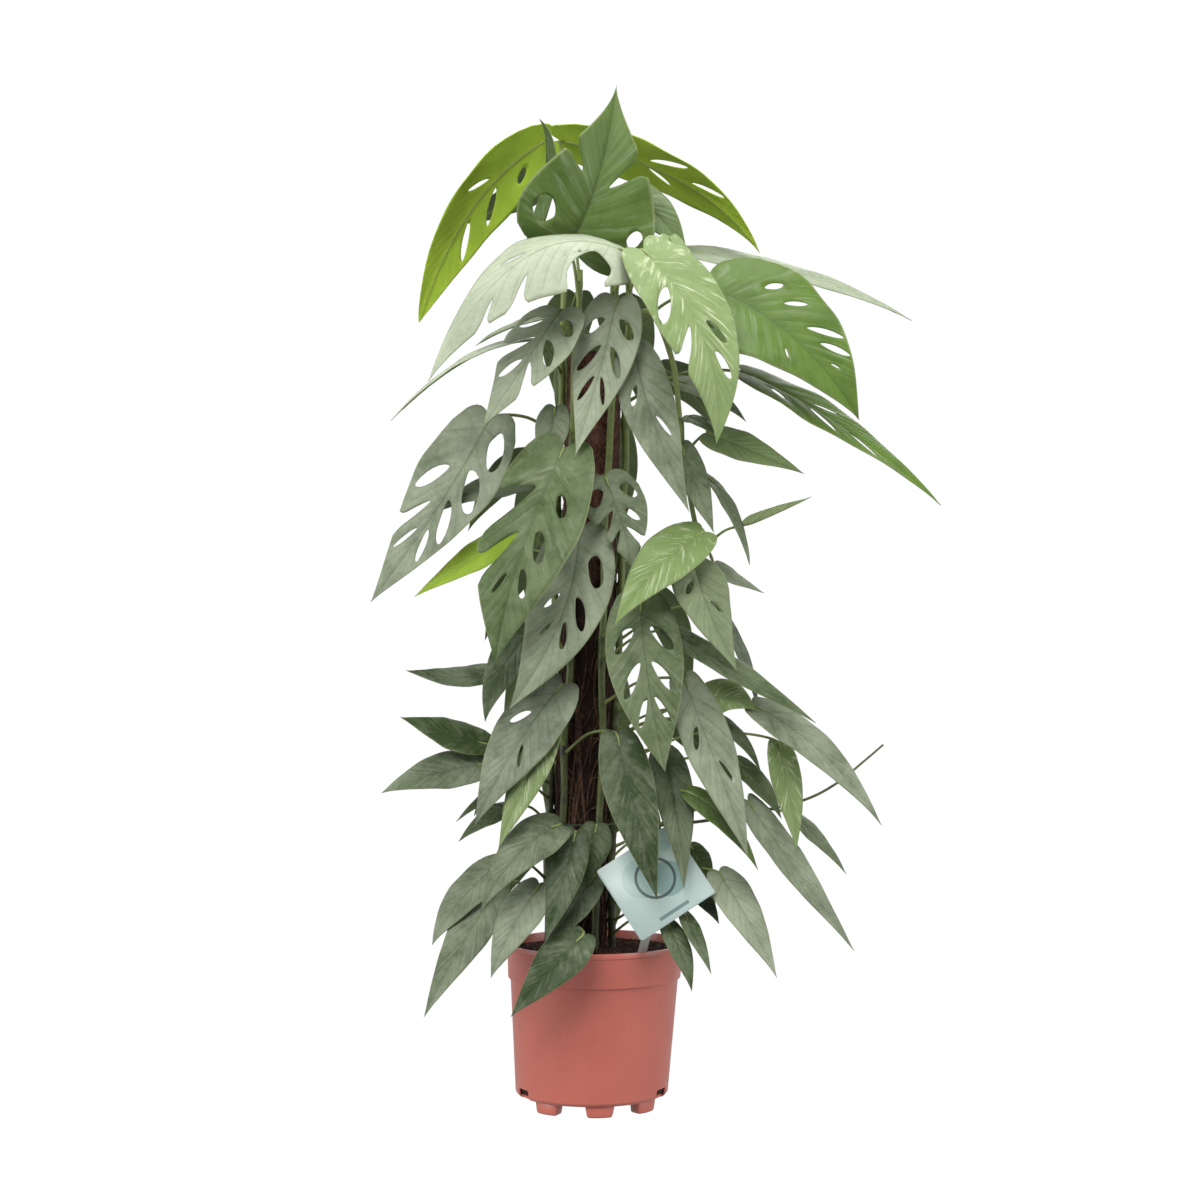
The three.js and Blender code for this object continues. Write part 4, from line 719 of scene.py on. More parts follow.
LEAF_SHEEN = {"Specular IOR Level": 0.2, "Sheen Weight": 0.02, "Sheen Roughness": 0.45}
MATERIALS = {
    "leaf": finish("silvery leaf", LEAF_SKIN, 0.55, 0.0009, LEAF_SHEEN),
    "young_leaf": finish(
        "young leaf", LEAF_SKIN, 0.5, 0.0008, LEAF_SHEEN,
        Deep=(84, 106, 58), Silver=(160, 174, 132), Warm=(114, 140, 74), Vein=(112, 134, 72),
        Under=(158, 174, 126), Fleck=(216, 222, 192), Flecks=0.6),
    # Lime leaves: their own young yellow-green, made brighter to stand in for light shining through them, a
    # painted glow, most of all on the underside.
    "lime_leaf": finish(
        "lime leaf", LEAF_SKIN, 0.45, 0.0008, LEAF_SHEEN,
        Deep=(104, 132, 40), Silver=(168, 196, 72), Warm=(142, 174, 46), Vein=(176, 196, 104),
        Margin=(172, 194, 88), Under=(160, 190, 60), Fleck=(176, 200, 96)),
    "stem": finish("climbing stem", STEM_SKIN, 0.4, 0.0006, {"Specular IOR Level": 0.45}),
    "pot_plastic": finish("terracotta plastic", MOULDED, 0.12, 0.0004, {"Specular IOR Level": 0.95}),
    "tube_plastic": finish(
        "dark tube", MOULDED, 0.2, 0.0004, {"Specular IOR Level": 0.4},
        Colour=(36, 33, 31), Shade=(26, 24, 23), Worn=(70, 66, 62), Rough=0.5),
    "tie": finish(
        "green tie", MOULDED, 0.2, 0.0003, {},
        Colour=(44, 70, 42), Shade=(34, 56, 34), Worn=(80, 104, 74), Rough=0.48),
    "stake": finish(
        "pale stake", MOULDED, 0.15, 0.0003, {},
        Colour=(230, 230, 224), Shade=(214, 214, 206), Worn=(240, 240, 236)),
    # The felt turns darker below 0.6 m up the pole.
    "coir": finish(
        "coir felt", FIBROUS, 0.9, 0.0022, {"Specular IOR Level": 0.2},
        Dark=(58, 38, 31), Light=(150, 106, 90), Low_top=0.6),
    "soil": finish(
        "peat soil", FIBROUS, 1.0, 0.002, {"Specular IOR Level": 0.25},
        Dark=(26, 18, 14), Light=(98, 68, 50), Strand_scale=260.0, Clump_scale=140.0),
    "root": finish(
        "aerial root", FIBROUS, 0.6, 0.0008, {"Specular IOR Level": 0.3},
        Dark=(44, 33, 26), Light=(126, 92, 70), Strand_scale=600.0),
}

# Print of the label, in shares of the card's width from its middle: place, size and ink.
CARD_UV = "card_place"
CARD_DISCS = (
    (-0.12, 0.12, 0.22, (140, 172, 164)),
    (0.14, -0.04, 0.2, (92, 134, 128)),
    (0.3, 0.3, 0.07, (140, 172, 164)),
)
CARD_RING = (0.02, 0.04, 0.22, (40, 56, 56))
CARD_BAR = (0, -0.38, 0.4, (70, 104, 104))


def card_material():
    """Printed card: a mint ground with overlapping teal discs, a dark ring and a plain bar."""
    material, nodes = blank_material("printed card")
    across, up, _ = nodes.parts(nodes.put("ShaderNodeUVMap", uv_map=CARD_UV))
    body = group_node(nodes, MOULDED, {
        "Colour": (176, 194, 189), "Shade": (166, 186, 181), "Worn": (226, 234, 230),
        "Rough": 0.34, "Wear": 0.3,
    })
    skin = body.outputs["Color"]

    def distance(x, y):
        aside, above = across - x, up - y
        return nodes.math("SQRT", aside * aside + above * above)

    for x, y, radius, ink in CARD_DISCS:
        inside = nodes.sweep(distance(x, y), radius - 0.006, radius + 0.006, 0.62, 0.0)
        skin = nodes.mix(inside, skin, colour(*ink))
    x, y, radius, ink = CARD_RING
    line = nodes.sweep(abs(distance(x, y) - radius), 0.012, 0.02, 0.85, 0.0)
    skin = nodes.mix(line, skin, colour(*ink))
    x, y, length, ink = CARD_BAR
    bar = nodes.sweep(abs(across - x), length / 2 - 0.01, length / 2, 0.75, 0.0)
    skin = nodes.mix(bar * nodes.sweep(abs(up - y), 0.016, 0.024, 1.0, 0.0), skin, colour(*ink))
    end_material(nodes, body, skin, 0.12, 0.0003, {})
    return material


MATERIALS["card"] = card_material()


# Pieces


def add_object(name, mesh):
    piece = bpy.data.objects.new(name, mesh)
    scene.collection.objects.link(piece)
    return piece


def mesh_of(name, points, faces, edges=()):
    """A mesh in metres from points in millimetres."""
    mesh = bpy.data.meshes.new(name)
    mesh.from_pydata((np.asarray(points, float) * MM).tolist(), list(edges), list(faces))
    mesh.update()
    return mesh


def smooth(mesh, crease=None):
    """Shades a mesh smooth, but for edges that turn by more than the crease in degrees."""
    mesh.polygons.foreach_set("use_smooth", np.ones(len(mesh.polygons), bool))
    mesh.update()
    if crease is not None:
        mesh.set_sharp_from_angle(angle=math.radians(crease))


def plain_mesh(piece, name):
    """The piece with its modifiers worked in, as a new object; the old one goes."""
    bpy.context.view_layer.update()
    graph = bpy.context.evaluated_depsgraph_get()
    mesh = bpy.data.meshes.new_from_object(piece.evaluated_get(graph))
    mesh.name = name
    bpy.data.objects.remove(piece)
    return add_object(name, mesh)


def declare(piece, slot, replaced, material=None):
    """Every piece is still and rides on the plant's one body; its material is its slot's if none is named."""
    piece.data.materials.clear()
    piece.data.materials.append(MATERIALS[material or slot])
    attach(piece, "root")
    if replaced:
        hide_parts(replaced)


# Geometry Nodes

# A little over a full turn, in radians.
FULL_TURN = 6.3


def geometry_tree(name, **inputs):
    """An empty Geometry Nodes tree with a geometry input and output and the inputs named with their kinds."""
    tree = bpy.data.node_groups.new(name, "GeometryNodeTree")
    for label, kind in (("Geometry", "Geometry"), *inputs.items()):
        tree.interface.new_socket(label, in_out="INPUT", socket_type="NodeSocket" + kind)
    tree.interface.new_socket("Geometry", in_out="OUTPUT", socket_type="NodeSocketGeometry")
    nodes = Nodes(tree)
    entry = nodes.put("NodeGroupInput")
    given = {label: nodes.out(entry, label) for label in ("Geometry", *inputs)}
    return tree, nodes, given


def end_tree(nodes, geometry):
    """Ends a tree in real, smooth geometry."""
    real = nodes.put("GeometryNodeRealizeInstances", geometry)
    nodes.put("NodeGroupOutput", nodes.put("GeometryNodeSetShadeSmooth", real))


def random_value(nodes, low, high, seed, kind="FLOAT"):
    output, first = (0, 0) if kind == "FLOAT_VECTOR" else (1, 2)
    node = nodes.put("FunctionNodeRandomValue", data_type=kind,
                     sockets={first: low, first + 1: high, "Seed": seed})
    return nodes.out(node, output)


def points_on_faces(nodes, given):
    return nodes.put("GeometryNodeDistributePointsOnFaces", given["Geometry"], distribute_method="RANDOM",
                     sockets={"Density": given["Density"], "Seed": given["Seed"]})


def strew(nodes, points, shape, turn, size):
    """Ends a tree in copies of a shape on points, turned and sized."""
    copies = nodes.put("GeometryNodeInstanceOnPoints", points.outputs["Points"],
                       sockets={"Instance": shape, "Rotation": turn, "Scale": size})
    end_tree(nodes, copies)


def tube_tree():
    """A closed round tube along every line, as thick as the line's own radius attribute says."""
    tree, nodes, given = geometry_tree("tubes along lines", Sides="Int")
    lines = nodes.put("GeometryNodeMeshToCurve", given["Geometry"])
    ring = nodes.put("GeometryNodeCurvePrimitiveCircle", given["Sides"], sockets={"Radius": 1.0})
    radius = nodes.put("GeometryNodeInputNamedAttribute", "radius", data_type="FLOAT")
    tube = nodes.put("GeometryNodeCurveToMesh", lines, ring.outputs["Curve"], radius, True)
    end_tree(nodes, tube)
    return tree


def crumb_tree():
    """Lumps of peat strewn over a surface, each a dented ball turned and sized by the seed."""
    tree, nodes, given = geometry_tree("crumbs on a surface", Density="Float", Smallest="Float",
                                       Largest="Float", Seed="Int")
    points = points_on_faces(nodes, given)
    ball = nodes.put("GeometryNodeMeshIcoSphere", 1.0, 2)
    dent = nodes.put("ShaderNodeTexNoise", sockets={"Scale": 1.7})
    offset = nodes.put("ShaderNodeVectorMath", dent.outputs["Color"], (0.5, 0.5, 0.5), operation="SUBTRACT")
    pushed = nodes.put("ShaderNodeVectorMath", offset, operation="SCALE", sockets={"Scale": 1.5})
    lump = nodes.put("GeometryNodeSetPosition", ball.outputs["Mesh"], None, None, pushed)
    turn = random_value(nodes, (0.0,) * 3, (FULL_TURN,) * 3, given["Seed"], "FLOAT_VECTOR")
    size = random_value(nodes, given["Smallest"], given["Largest"], given["Seed"])
    strew(nodes, points, lump, nodes.put("FunctionNodeEulerToRotation", turn), size)
    return tree


def fibre_tree():
    """Short curved fibres lying on a surface, leaning out of it a little."""
    tree, nodes, given = geometry_tree("fibres on a surface", Density="Float", Length="Float",
                                       Radius="Float", Lean="Float", Seed="Int")
    points = points_on_faces(nodes, given)
    arc = nodes.put("GeometryNodeCurveQuadraticBezier", 5, sockets={
        "Start": (-0.5, 0.0, -0.02), "Middle": (0.05, 0.16, 0.17), "End": (0.5, 0.0, 0.03),
    })
    ring = nodes.put("GeometryNodeCurvePrimitiveCircle", 3,
                     sockets={"Radius": given["Radius"] / given["Length"]})
    strand = nodes.put("GeometryNodeCurveToMesh", arc, ring.outputs["Curve"], None, True)
    spin = random_value(nodes, 0.0, FULL_TURN, given["Seed"])
    tilt = random_value(nodes, given["Lean"] * -1.0, given["Lean"], given["Seed"])
    turn = nodes.put("FunctionNodeEulerToRotation", nodes.put("ShaderNodeCombineXYZ", tilt, tilt, spin))
    facing = nodes.put("FunctionNodeRotateRotation", points.outputs["Rotation"], turn, rotation_space="LOCAL")
    size = random_value(nodes, 0.5, 1.35, given["Seed"]) * given["Length"]
    strew(nodes, points, strand, facing, size)
    return tree


TUBES = tube_tree()
CRUMBS = crumb_tree()
FIBRES = fibre_tree()


def grown(name, source, tree, **values):
    """What the tree makes of a source mesh, as a plain object."""
    carrier = add_object(name + "_source", source)
    modifier = carrier.modifiers.new("growth", "NODES")
    modifier.node_group = tree
    sockets = {item.name: item.identifier for item in tree.interface.items_tree
               if item.item_type == "SOCKET" and item.in_out == "INPUT"}
    for label, value in values.items():
        modifier[sockets[label]] = value
    return plain_mesh(carrier, name)


class Lines:
    """Lines for the tube tree: each has its points, and a radius and a freshness at every point."""

    def __init__(self):
        self.points = []
        self.edges = []
        self.radii = []
        self.fresh = []

    def add(self, points, radii, fresh, closed=False):
        points = np.asarray(points, float)
        count = len(points)
        first = len(self.points)
        self.points.extend(points.tolist())
        self.radii.extend(np.broadcast_to(radii, count).tolist())
        self.fresh.extend(np.broadcast_to(fresh, count).tolist())
        self.edges.extend((first + i, first + i + 1) for i in range(count - 1))
        if closed:
            self.edges.append((first + count - 1, first))

    def tubes(self, name, sides):
        source = mesh_of(name + "_lines", self.points, [], self.edges)
        for label, values in (("radius", np.array(self.radii) * MM), (SKIN, np.array(self.fresh))):
            held = source.attributes.new(label, "FLOAT", "POINT")
            held.data.foreach_set("value", values.astype(np.float32))
        return grown(name, source, TUBES, Sides=sides)


def between(first, last, start, end, time):
    return first + (last - first) * (time - start) / (end - start)


def curve_through(points, count):
    """Points on a centripetal Catmull-Rom line through the given ones, evenly timed."""
    knots = np.asarray(points, float)
    knots = np.vstack([2 * knots[0] - knots[1], knots, 2 * knots[-1] - knots[-2]])
    steps = np.sqrt(np.linalg.norm(np.diff(knots, axis=0), axis=1))
    times = np.concatenate([[0], np.cumsum(np.maximum(steps, 1e-6))])
    result = []
    for time in np.linspace(times[1], times[-2], count):
        i = int(np.clip(np.searchsorted(times, time, side="right") - 1, 1, len(knots) - 3))
        p, t = knots[i - 1:i + 3], times[i - 1:i + 3]
        first, middle, last = (between(p[k], p[k + 1], t[k], t[k + 1], time) for k in range(3))
        first = between(first, middle, t[0], t[2], time)
        last = between(middle, last, t[1], t[3], time)
        result.append(between(first, last, t[1], t[2], time))
    return np.array(result)


# Stems, stalks and leaf blades


def pole_at(height):
    """Middle of the pole at a height or at each of several, carried on above its head."""
    foot, head = np.array(POLE_FOOT, float), np.array(POLE_HEAD, float)
    share = (np.asarray(height, float) - foot[2]) / (head[2] - foot[2])
    return foot + (head - foot) * share[..., None]


def beside_pole(height, distance, turn):
    """Points at a distance from the pole's middle, in the direction of a turn in radians."""
    aside = np.stack(np.broadcast_arrays(distance * np.cos(turn), distance * np.sin(turn), 0.0), axis=-1)
    return pole_at(height) + aside


def stem_at(stem, height):
    """Middle of a climbing stem: it keeps a ring's distance from the pole and wanders a little."""
    angle = STEMS[stem][0]
    turn = np.radians(angle + 3 * np.sin(np.asarray(height) / 70 + angle))
    return beside_pole(height, STEM_RING, turn)


class Leaf:
    """A blade's midrib, outline and openings, with the numbers that a row of the tables gives."""

    def __init__(self, row):
        self.name, self.node = row[0], row[1]
        self.base, self.mid, self.tip, self.face = (np.array(p, float) for p in row[2:6])
        self.width, self.fold = row[6:8]
        self.cuts = CUTS[row[8]] if len(row) > 8 else ()
        self.taper = row[9] if len(row) > 9 else TIP_POWER
        self.control = 2 * self.mid - (self.base + self.tip) / 2
        self.length = np.linalg.norm(self.mid - self.base) + np.linalg.norm(self.tip - self.mid)
        self.draw = np.random.default_rng(sum(ord(letter) * (i + 3) for i, letter in enumerate(self.name)))
        self.rows, self.columns, self.veins = next(
            grid for least, *grid in BLADE_GRIDS if self.width >= least)
        self.wave = self.draw.uniform(0, 2 * math.pi, 4)

    def bigness(self, least, gain):
        """A factor that grows with the leaf, from the least one to least and gain together."""
        return least + gain * min(self.width / LARGE_WIDTH, 1)

    def midrib(self, along):
        """Points and directions of the midrib's parabola, straight on past the base."""
        a = np.maximum(along, 0)[..., None]
        point = self.base * (1 - a) ** 2 + self.control * 2 * a * (1 - a) + self.tip * a ** 2
        slope = (self.control - self.base) * 2 * (1 - a) + (self.tip - self.control) * 2 * a
        point = point + slope * np.minimum(along, 0)[..., None]
        return point, unit(slope)

    def outline(self, m):
        widest = BASE_POWER / (BASE_POWER + self.taper)
        peak = widest ** BASE_POWER * (1 - widest) ** self.taper
        return m ** BASE_POWER * (1 - m) ** self.taper / peak

    def vein_number(self, s):
        """Side veins counted along the midrib, so that every opening lies between two of them."""
        places, counts = [0.0], [0.0]
        for station, *_ in self.cuts:
            places.append(station)
            counts.append(max(counts[-1] + 1, round(station * self.veins - 0.5) + 0.5))
        s = np.minimum(s, LAST_VEIN)
        return np.interp(s, [*places, 1.0], [*counts, counts[-1] + (1 - places[-1]) * self.veins])

    def at(self, s, t, side):
        """Points, upward normals and breadths at stations s and shares t from midrib to margin."""
        m = np.minimum(s + VEIN_SLANT * s ** 0.6 * np.maximum(1 - s, 0) ** 1.2, 1)
        lobe = np.where(m > 0.9, 0, LOBE * np.sqrt(m) * np.exp(-m / LOBE_REACH))
        across = t * self.width * self.outline(m)
        point, tangent = self.midrib(s + t * (m - lobe - s))
        sideways = unit(np.cross(tangent, self.face))
        normal = unit(np.cross(sideways, tangent))
        edge = across / self.width
        broad, fine = (2 * math.pi * count * m for count in RIPPLE_COUNTS)
        ripple = np.sin(broad + self.wave[0] + side * self.wave[1])
        ripple = ripple + 0.5 * np.sin(fine + self.wave[2] - side * self.wave[3])
        quilt = (0.5 - 0.5 * np.cos(2 * math.pi * self.vein_number(s))) ** 0.7
        quilt = quilt * np.clip(t / 0.15, 0, 1) * np.clip((1 - t) / 0.25, 0, 1)
        channel = np.exp(-(across / CHANNEL_WIDTH) ** 2) * np.clip(8 * s, 0, 1)
        lift = self.fold * across - MARGIN_DROOP * across * edge - CHANNEL_DEPTH * channel
        lift = lift + RIPPLE_HEIGHT * self.width * ripple * edge ** 2
        lift = lift + QUILT_HEIGHT * self.width * quilt * (0.35 + edge)
        point = point + sideways * (side * across)[..., None] + normal * lift[..., None]
        return point, normal, self.outline(m)

    def shares(self, cut):
        """Shares from midrib to margin on which a half's columns lie, closer round an opening."""
        count = self.columns
        if not cut:
            return np.concatenate([CHANNEL_SHARES, np.linspace(INNER_SHARE, 1, count - 1)])
        start, end, _ = cut
        closed = end < 1
        outer = max(3, round(count * OUTER_COLUMNS)) if closed else 0
        inner = max(3, round(count * INNER_COLUMNS))
        middle = np.linspace(0, math.pi if closed else math.pi / 2, count - inner - outer + 1)
        if closed:
            opening = start + (end - start) * (0.5 - 0.5 * np.cos(middle))
        else:
            opening = start + (1 - start) * (1 - np.cos(middle))
        before = np.linspace(INNER_SHARE, start, inner - 1)[:-1]
        return np.concatenate([CHANNEL_SHARES, before, opening, np.linspace(end, 1, outer + 1)[1:]])

    def gap(self, cut, shares):
        """Half height of an opening at each column."""
        if not cut:
            return np.zeros(len(shares))
        start, end, half = cut
        inside = (shares > start) & (shares < end)
        angle = np.pi * np.clip((shares - start) / (end - start), 0, 1)
        flare = SLIT_FLARE * np.clip((shares - 0.75) / 0.25, 0, 1) ** 3 if end > 1 else 0
        return np.where(inside, half * np.sin(angle) ** 0.6 + flare, 0)

    def halves(self):
        """Grids of (s, t) between one station and the next, closer to each other at the base and the tip."""
        for column, side in enumerate((1, -1)):
            stations = [(0.0, 0), *((cut[0], cut[1 + column]) for cut in self.cuts), (1.0, 0)]
            for (s0, cut0), (s1, cut1) in zip(stations, stations[1:]):
                near, far = self.shares(cut0), self.shares(cut1)
                first, last = s0 + self.gap(cut0, near), s1 - self.gap(cut1, far)
                count = max(3, round((s1 - s0) * self.rows))
                row = np.linspace(0, 1, count + 1)
                if s1 == 1:
                    row = 1 - (1 - row) ** TIP_CROWDING
                if s0 == 0:
                    row = row ** BASE_CROWDING
                    lobe_rows = row[1] * np.linspace(0, 1, LOBE_ROWS + 1)[:-1] ** LOBE_CROWDING
                    row = np.concatenate([lobe_rows, row[1:]])
                row = row[:, None]
                yield side, first + (last - first) * row, near + (far - near) * row


class Blades:
    """Closed thin blades gathered for one piece."""

    def __init__(self):
        self.points = []
        self.faces = []
        self.uvs = []
        self.tones = []
        self.flat = []
        self.count = 0

    def add(self, leaf, silver, warm):
        """Adds a leaf: its halves' grids welded to one sheet, and the sheet made a closed thin blade."""
        grids, quads, total = [], [], 0
        for side, s, t in leaf.halves():
            point, normal, breadth = leaf.at(s, t, side)
            place = np.stack([leaf.vein_number(s), side * t], axis=-1)
            index = total + np.arange(s.size).reshape(s.shape)
            corners = [index[:-1, :-1], index[:-1, 1:], index[1:, 1:], index[1:, :-1]]
            quads.append(np.stack(corners[::side], axis=-1).reshape(-1, 4))
            grids.append([np.reshape(value, (s.size, -1)) for value in (point, normal, place, breadth)])
            total += s.size
        points, normals, places, breadths = (np.concatenate(values) for values in zip(*grids))
        keys = np.round(points / WELD).astype(np.int64)
        _, keep, welded = np.unique(keys, axis=0, return_index=True, return_inverse=True)
        welded = welded.ravel()
        points, normals, breadths = points[keep], normals[keep], breadths[keep]
        sheet, edges = [], {}
        for quad in np.concatenate(quads).tolist():
            corners = {}
            for corner in quad:
                corners.setdefault(int(welded[corner]), places[corner])
            if len(corners) < 3:
                continue
            sheet.append(corners)
            for start, end in zip(corners, [*corners][1:] + [*corners][:1]):
                edges[start, end] = (corners[start], corners[end])
        under = self.count + len(points)
        for corners in sheet:
            self.faces.append([self.count + vertex for vertex in corners])
            self.faces.append([under + vertex for vertex in reversed(corners)])
            self.uvs.extend((*corners.values(), *reversed(corners.values())))
            self.flat.extend((False, False))
        for (start, end), (first, last) in edges.items():
            if (end, start) not in edges:
                self.faces.append([self.count + end, self.count + start, under + start, under + end])
                self.uvs.extend((last, first, first, last))
                self.flat.append(True)
        half = BLADE / 2
        self.points.extend((points + normals * half, points - normals * half))
        for side in (0, 1):
            tone = np.tile([silver, warm, side, 0.0], (len(points), 1))
            tone[:, 3:] = breadths
            self.tones.append(tone)
        self.count += 2 * len(points)

    def piece(self, name):
        mesh = mesh_of(name, np.concatenate(self.points), self.faces)
        layer = mesh.uv_layers.new(name=VEIN_UV)
        layer.data.foreach_set("uv", np.array(self.uvs, np.float32).ravel())
        tones = mesh.attributes.new(TONE, "FLOAT_COLOR", "POINT")
        tones.data.foreach_set("color", np.concatenate(self.tones).astype(np.float32).ravel())
        mesh.polygons.foreach_set("use_smooth", ~np.array(self.flat))
        mesh.update()
        return add_object(name, mesh)


def add_stalk(lines, leaf, start, fresh):
    """A stalk from the stem, arched, sheathed at its foot and thickened at the joint under the blade."""
    middle = (start + leaf.base) / 2 + [0, 0, STALK_ARCH * np.linalg.norm(leaf.base - start)]
    point, tangent = leaf.midrib(np.zeros(1))
    end = point[0] + tangent[0] * STALK_END * min(1, leaf.length / 90)
    points = curve_through([start, middle, leaf.base, end], 26)
    along = np.concatenate([[0], np.cumsum(np.linalg.norm(np.diff(points, axis=0), axis=1))])
    past_joint = along - along[-1] + STALK_END + 3
    joint = np.exp(-(past_joint / JOINT_LENGTH) ** 2)
    radii = STALK_RADIUS * leaf.bigness(0.78, 0.3) * (1 + SHEATH_SWELL * np.exp(-along / SHEATH_LENGTH))
    radii = radii * (1 + JOINT_SWELL * joint) * (1 - STALK_TAPER * np.clip(past_joint / past_joint[-1], 0, 1))
    lines.add(points, radii, fresh - 0.35 * joint)


def add_midrib(lines, leaf, fresh):
    """The rib that stands out of a blade's underside."""
    along = np.linspace(0.02, 0.93, 22)
    point, normal, _ = leaf.at(along, np.zeros(22), 1)
    radii = MIDRIB_RADIUS * leaf.bigness(0.6, 0.5) * (1 - 0.82 * along)
    lines.add(point - normal * (BLADE / 2 + 0.35 * radii)[:, None], radii, fresh)


def add_stem(lines, stem, nodes):
    """A climbing stem: swollen, ringed nodes and a thinner young end."""
    angle, top = STEMS[stem]
    heights = np.arange(STEM_FOOT, top + 1, 5.0)
    points = stem_at(stem, heights)
    points[:, 0] += 0.9 * Ripple(seed=abs(angle) + 5, wavelength=120).at(points)
    radii = STEM_RADIUS * (1 - STEM_TAPER * np.clip((heights - top) / YOUNG_END + 1, 0, 1) ** 1.5)
    fresh = 0.15 + 0.75 * np.clip((heights - WOODY_TOP) / FRESH_RISE, 0, 1)
    for node in nodes:
        near = np.exp(-((heights - node) / NODE_LENGTH) ** 2)
        radii = radii * (1 + NODE_SWELL * near)
        fresh = fresh - 0.25 * near
    lines.add(points, radii, np.clip(fresh, 0, 1))


SHOOT_LINE = curve_through(SHOOT, 90)


def shoot_at(height):
    return SHOOT_LINE[np.argmin(np.abs(SHOOT_LINE[:, 2] - height))]


def make_vine(stem):
    """A climbing stem with its stalks and ribs as one piece, and its blades as another."""
    lines, blades = Lines(), Blades()
    leaves = [Leaf(row) for row in LEAVES[stem]]
    carried = [row[3] for row in YOUNG_LEAVES if row[1] == stem]
    add_stem(lines, stem, [leaf.node for leaf in leaves] + carried)
    starts = [stem_at(stem, leaf.node) for leaf in leaves]
    if stem == SHOOT_STEM:
        share = np.linspace(0, 1, len(SHOOT_LINE))
        lines.add(SHOOT_LINE, SHOOT_RADIUS * (1 - 0.25 * share), 0.9 - 0.2 * share)
        lines.add(curve_through(TENDRIL, 60), TENDRIL_RADIUS * np.linspace(1.1, 0.6, 60), 0.25)
        side_leaves = [Leaf(row) for row in SHOOT_LEAVES]
        leaves += side_leaves
        starts += [shoot_at(leaf.node) for leaf in side_leaves]
    for leaf, start in zip(leaves, starts):
        silver, warm = FINISH.get(leaf.name, PLAIN_FINISH)
        blades.add(leaf, silver + leaf.draw.uniform(-FINISH_SPREAD, FINISH_SPREAD), warm)
        add_stalk(lines, leaf, start, 0.78)
        add_midrib(lines, leaf, 0.9)
    declare(blades.piece(stem + "_blades"), "leaf", stem)
    declare(lines.tubes(stem + "_stems", STEM_SIDES), "leaf", stem, "stem")


def make_young_leaf(row):
    """A young leaf's blade, and its stalk and rib, as two pieces."""
    name, stem, hue = row[:3]
    slot = hue + "_leaf"
    leaf = Leaf((name, *row[3:]))
    on_shoot = stem == SHOOT_STEM and SHOOT_SPAN[0] < leaf.node < SHOOT_SPAN[1]
    start = shoot_at(leaf.node) if on_shoot else stem_at(stem, leaf.node)
    start = start + unit(leaf.base - start) * (SHOOT_RADIUS if on_shoot else STEM_RADIUS * 0.8)
    lines, blades = Lines(), Blades()
    blades.add(leaf, *FINISH[name])
    add_stalk(lines, leaf, start, 1.0)
    add_midrib(lines, leaf, 1.0)
    declare(blades.piece(name + "_blade"), slot, name)
    declare(lines.tubes(name + "_stalk", STEM_SIDES), slot, name, "stem")


for climbing_stem in STEMS:
    make_vine(climbing_stem)
for young_row in YOUNG_LEAVES:
    make_young_leaf(young_row)


# Pot, soil and pole


def rounded(profile, radius, steps=3):
    """An open profile with each inner corner replaced by a small curve."""
    profile = [np.array(p, float) for p in profile]
    result = [profile[0]]
    for before, corner, after in zip(profile, profile[1:], profile[2:]):
        back, on = before - corner, after - corner
        reach = min(radius, np.linalg.norm(back) * 0.45, np.linalg.norm(on) * 0.45)
        start = corner + back / np.linalg.norm(back) * reach
        end = corner + on / np.linalg.norm(on) * reach
        for share in np.linspace(0, 1, steps + 1):
            result.append(start * (1 - share) ** 2 + corner * 2 * share * (1 - share) + end * share ** 2)
    result.append(profile[-1])
    return result


def circle(radius, height, count):
    """A level circle of points round the z axis."""
    turns = np.linspace(0, 2 * math.pi, count, endpoint=False)
    return np.stack([radius * np.cos(turns), radius * np.sin(turns), np.full(count, height)], axis=-1)


def ring_faces(rings, columns, around=False):
    """Quads between each closed ring of points and the next, and from last to first when it goes around."""
    faces = []
    for row in range(rings if around else rings - 1):
        near, far = row * columns, (row + 1) % rings * columns
        for i in range(columns):
            j = (i + 1) % columns
            faces.append([near + i, near + j, far + j, far + i])
    return faces


def outward(mesh):
    """Turns every face of closed shells outwards."""
    shape = bmesh.new()
    shape.from_mesh(mesh)
    bmesh.ops.recalc_face_normals(shape, faces=shape.faces)
    shape.to_mesh(mesh)
    shape.free()
    return mesh


def lathe(name, profile, segments, move):
    """A closed turned shape from a profile that starts and ends on the axis; move shifts its points."""
    rings = [circle(radius, height, segments) for radius, height in profile[1:-1]]
    points = move(np.vstack([*rings, [[0, 0, profile[0][1]], [0, 0, profile[-1][1]]]]))
    first, last = len(points) - 2, len(points) - 1
    top = first - segments
    faces = ring_faces(len(rings), segments)
    for i in range(segments):
        j = (i + 1) % segments
        faces += [[first, j, i], [top + i, top + j, last]]
    return outward(mesh_of(name, points, faces))


def capped(name, rings):
    """A closed tube through rings of points, with flat ends."""
    count = len(rings[0])
    points = np.concatenate([np.asarray(ring, float) for ring in rings])
    ends = [list(range(count))[::-1], list(range(len(points) - count, len(points)))]
    return outward(mesh_of(name, points, ends + ring_faces(len(rings), count)))


def askew(points):
    """Slants the upright pot so that its foot lies left of its rim."""
    points = np.array(points, float)
    points[:, 0] -= FOOT_SHIFT * (1 - points[:, 2] / POT_TOP)
    return points


def prism(name, outline, low, high, taper, bevel):
    """An upright bar with rounded edges from an outline; its foot is narrowed by the taper across."""
    lower = [(x, y * taper, low) for x, y in outline]
    mesh = capped(name, [lower, [(x, y, high) for x, y in outline]])
    shape = bmesh.new()
    shape.from_mesh(mesh)
    bmesh.ops.bevel(shape, geom=shape.edges[:], offset=bevel * MM, segments=3, affect="EDGES", profile=0.5)
    shape.to_mesh(mesh)
    shape.free()
    return mesh


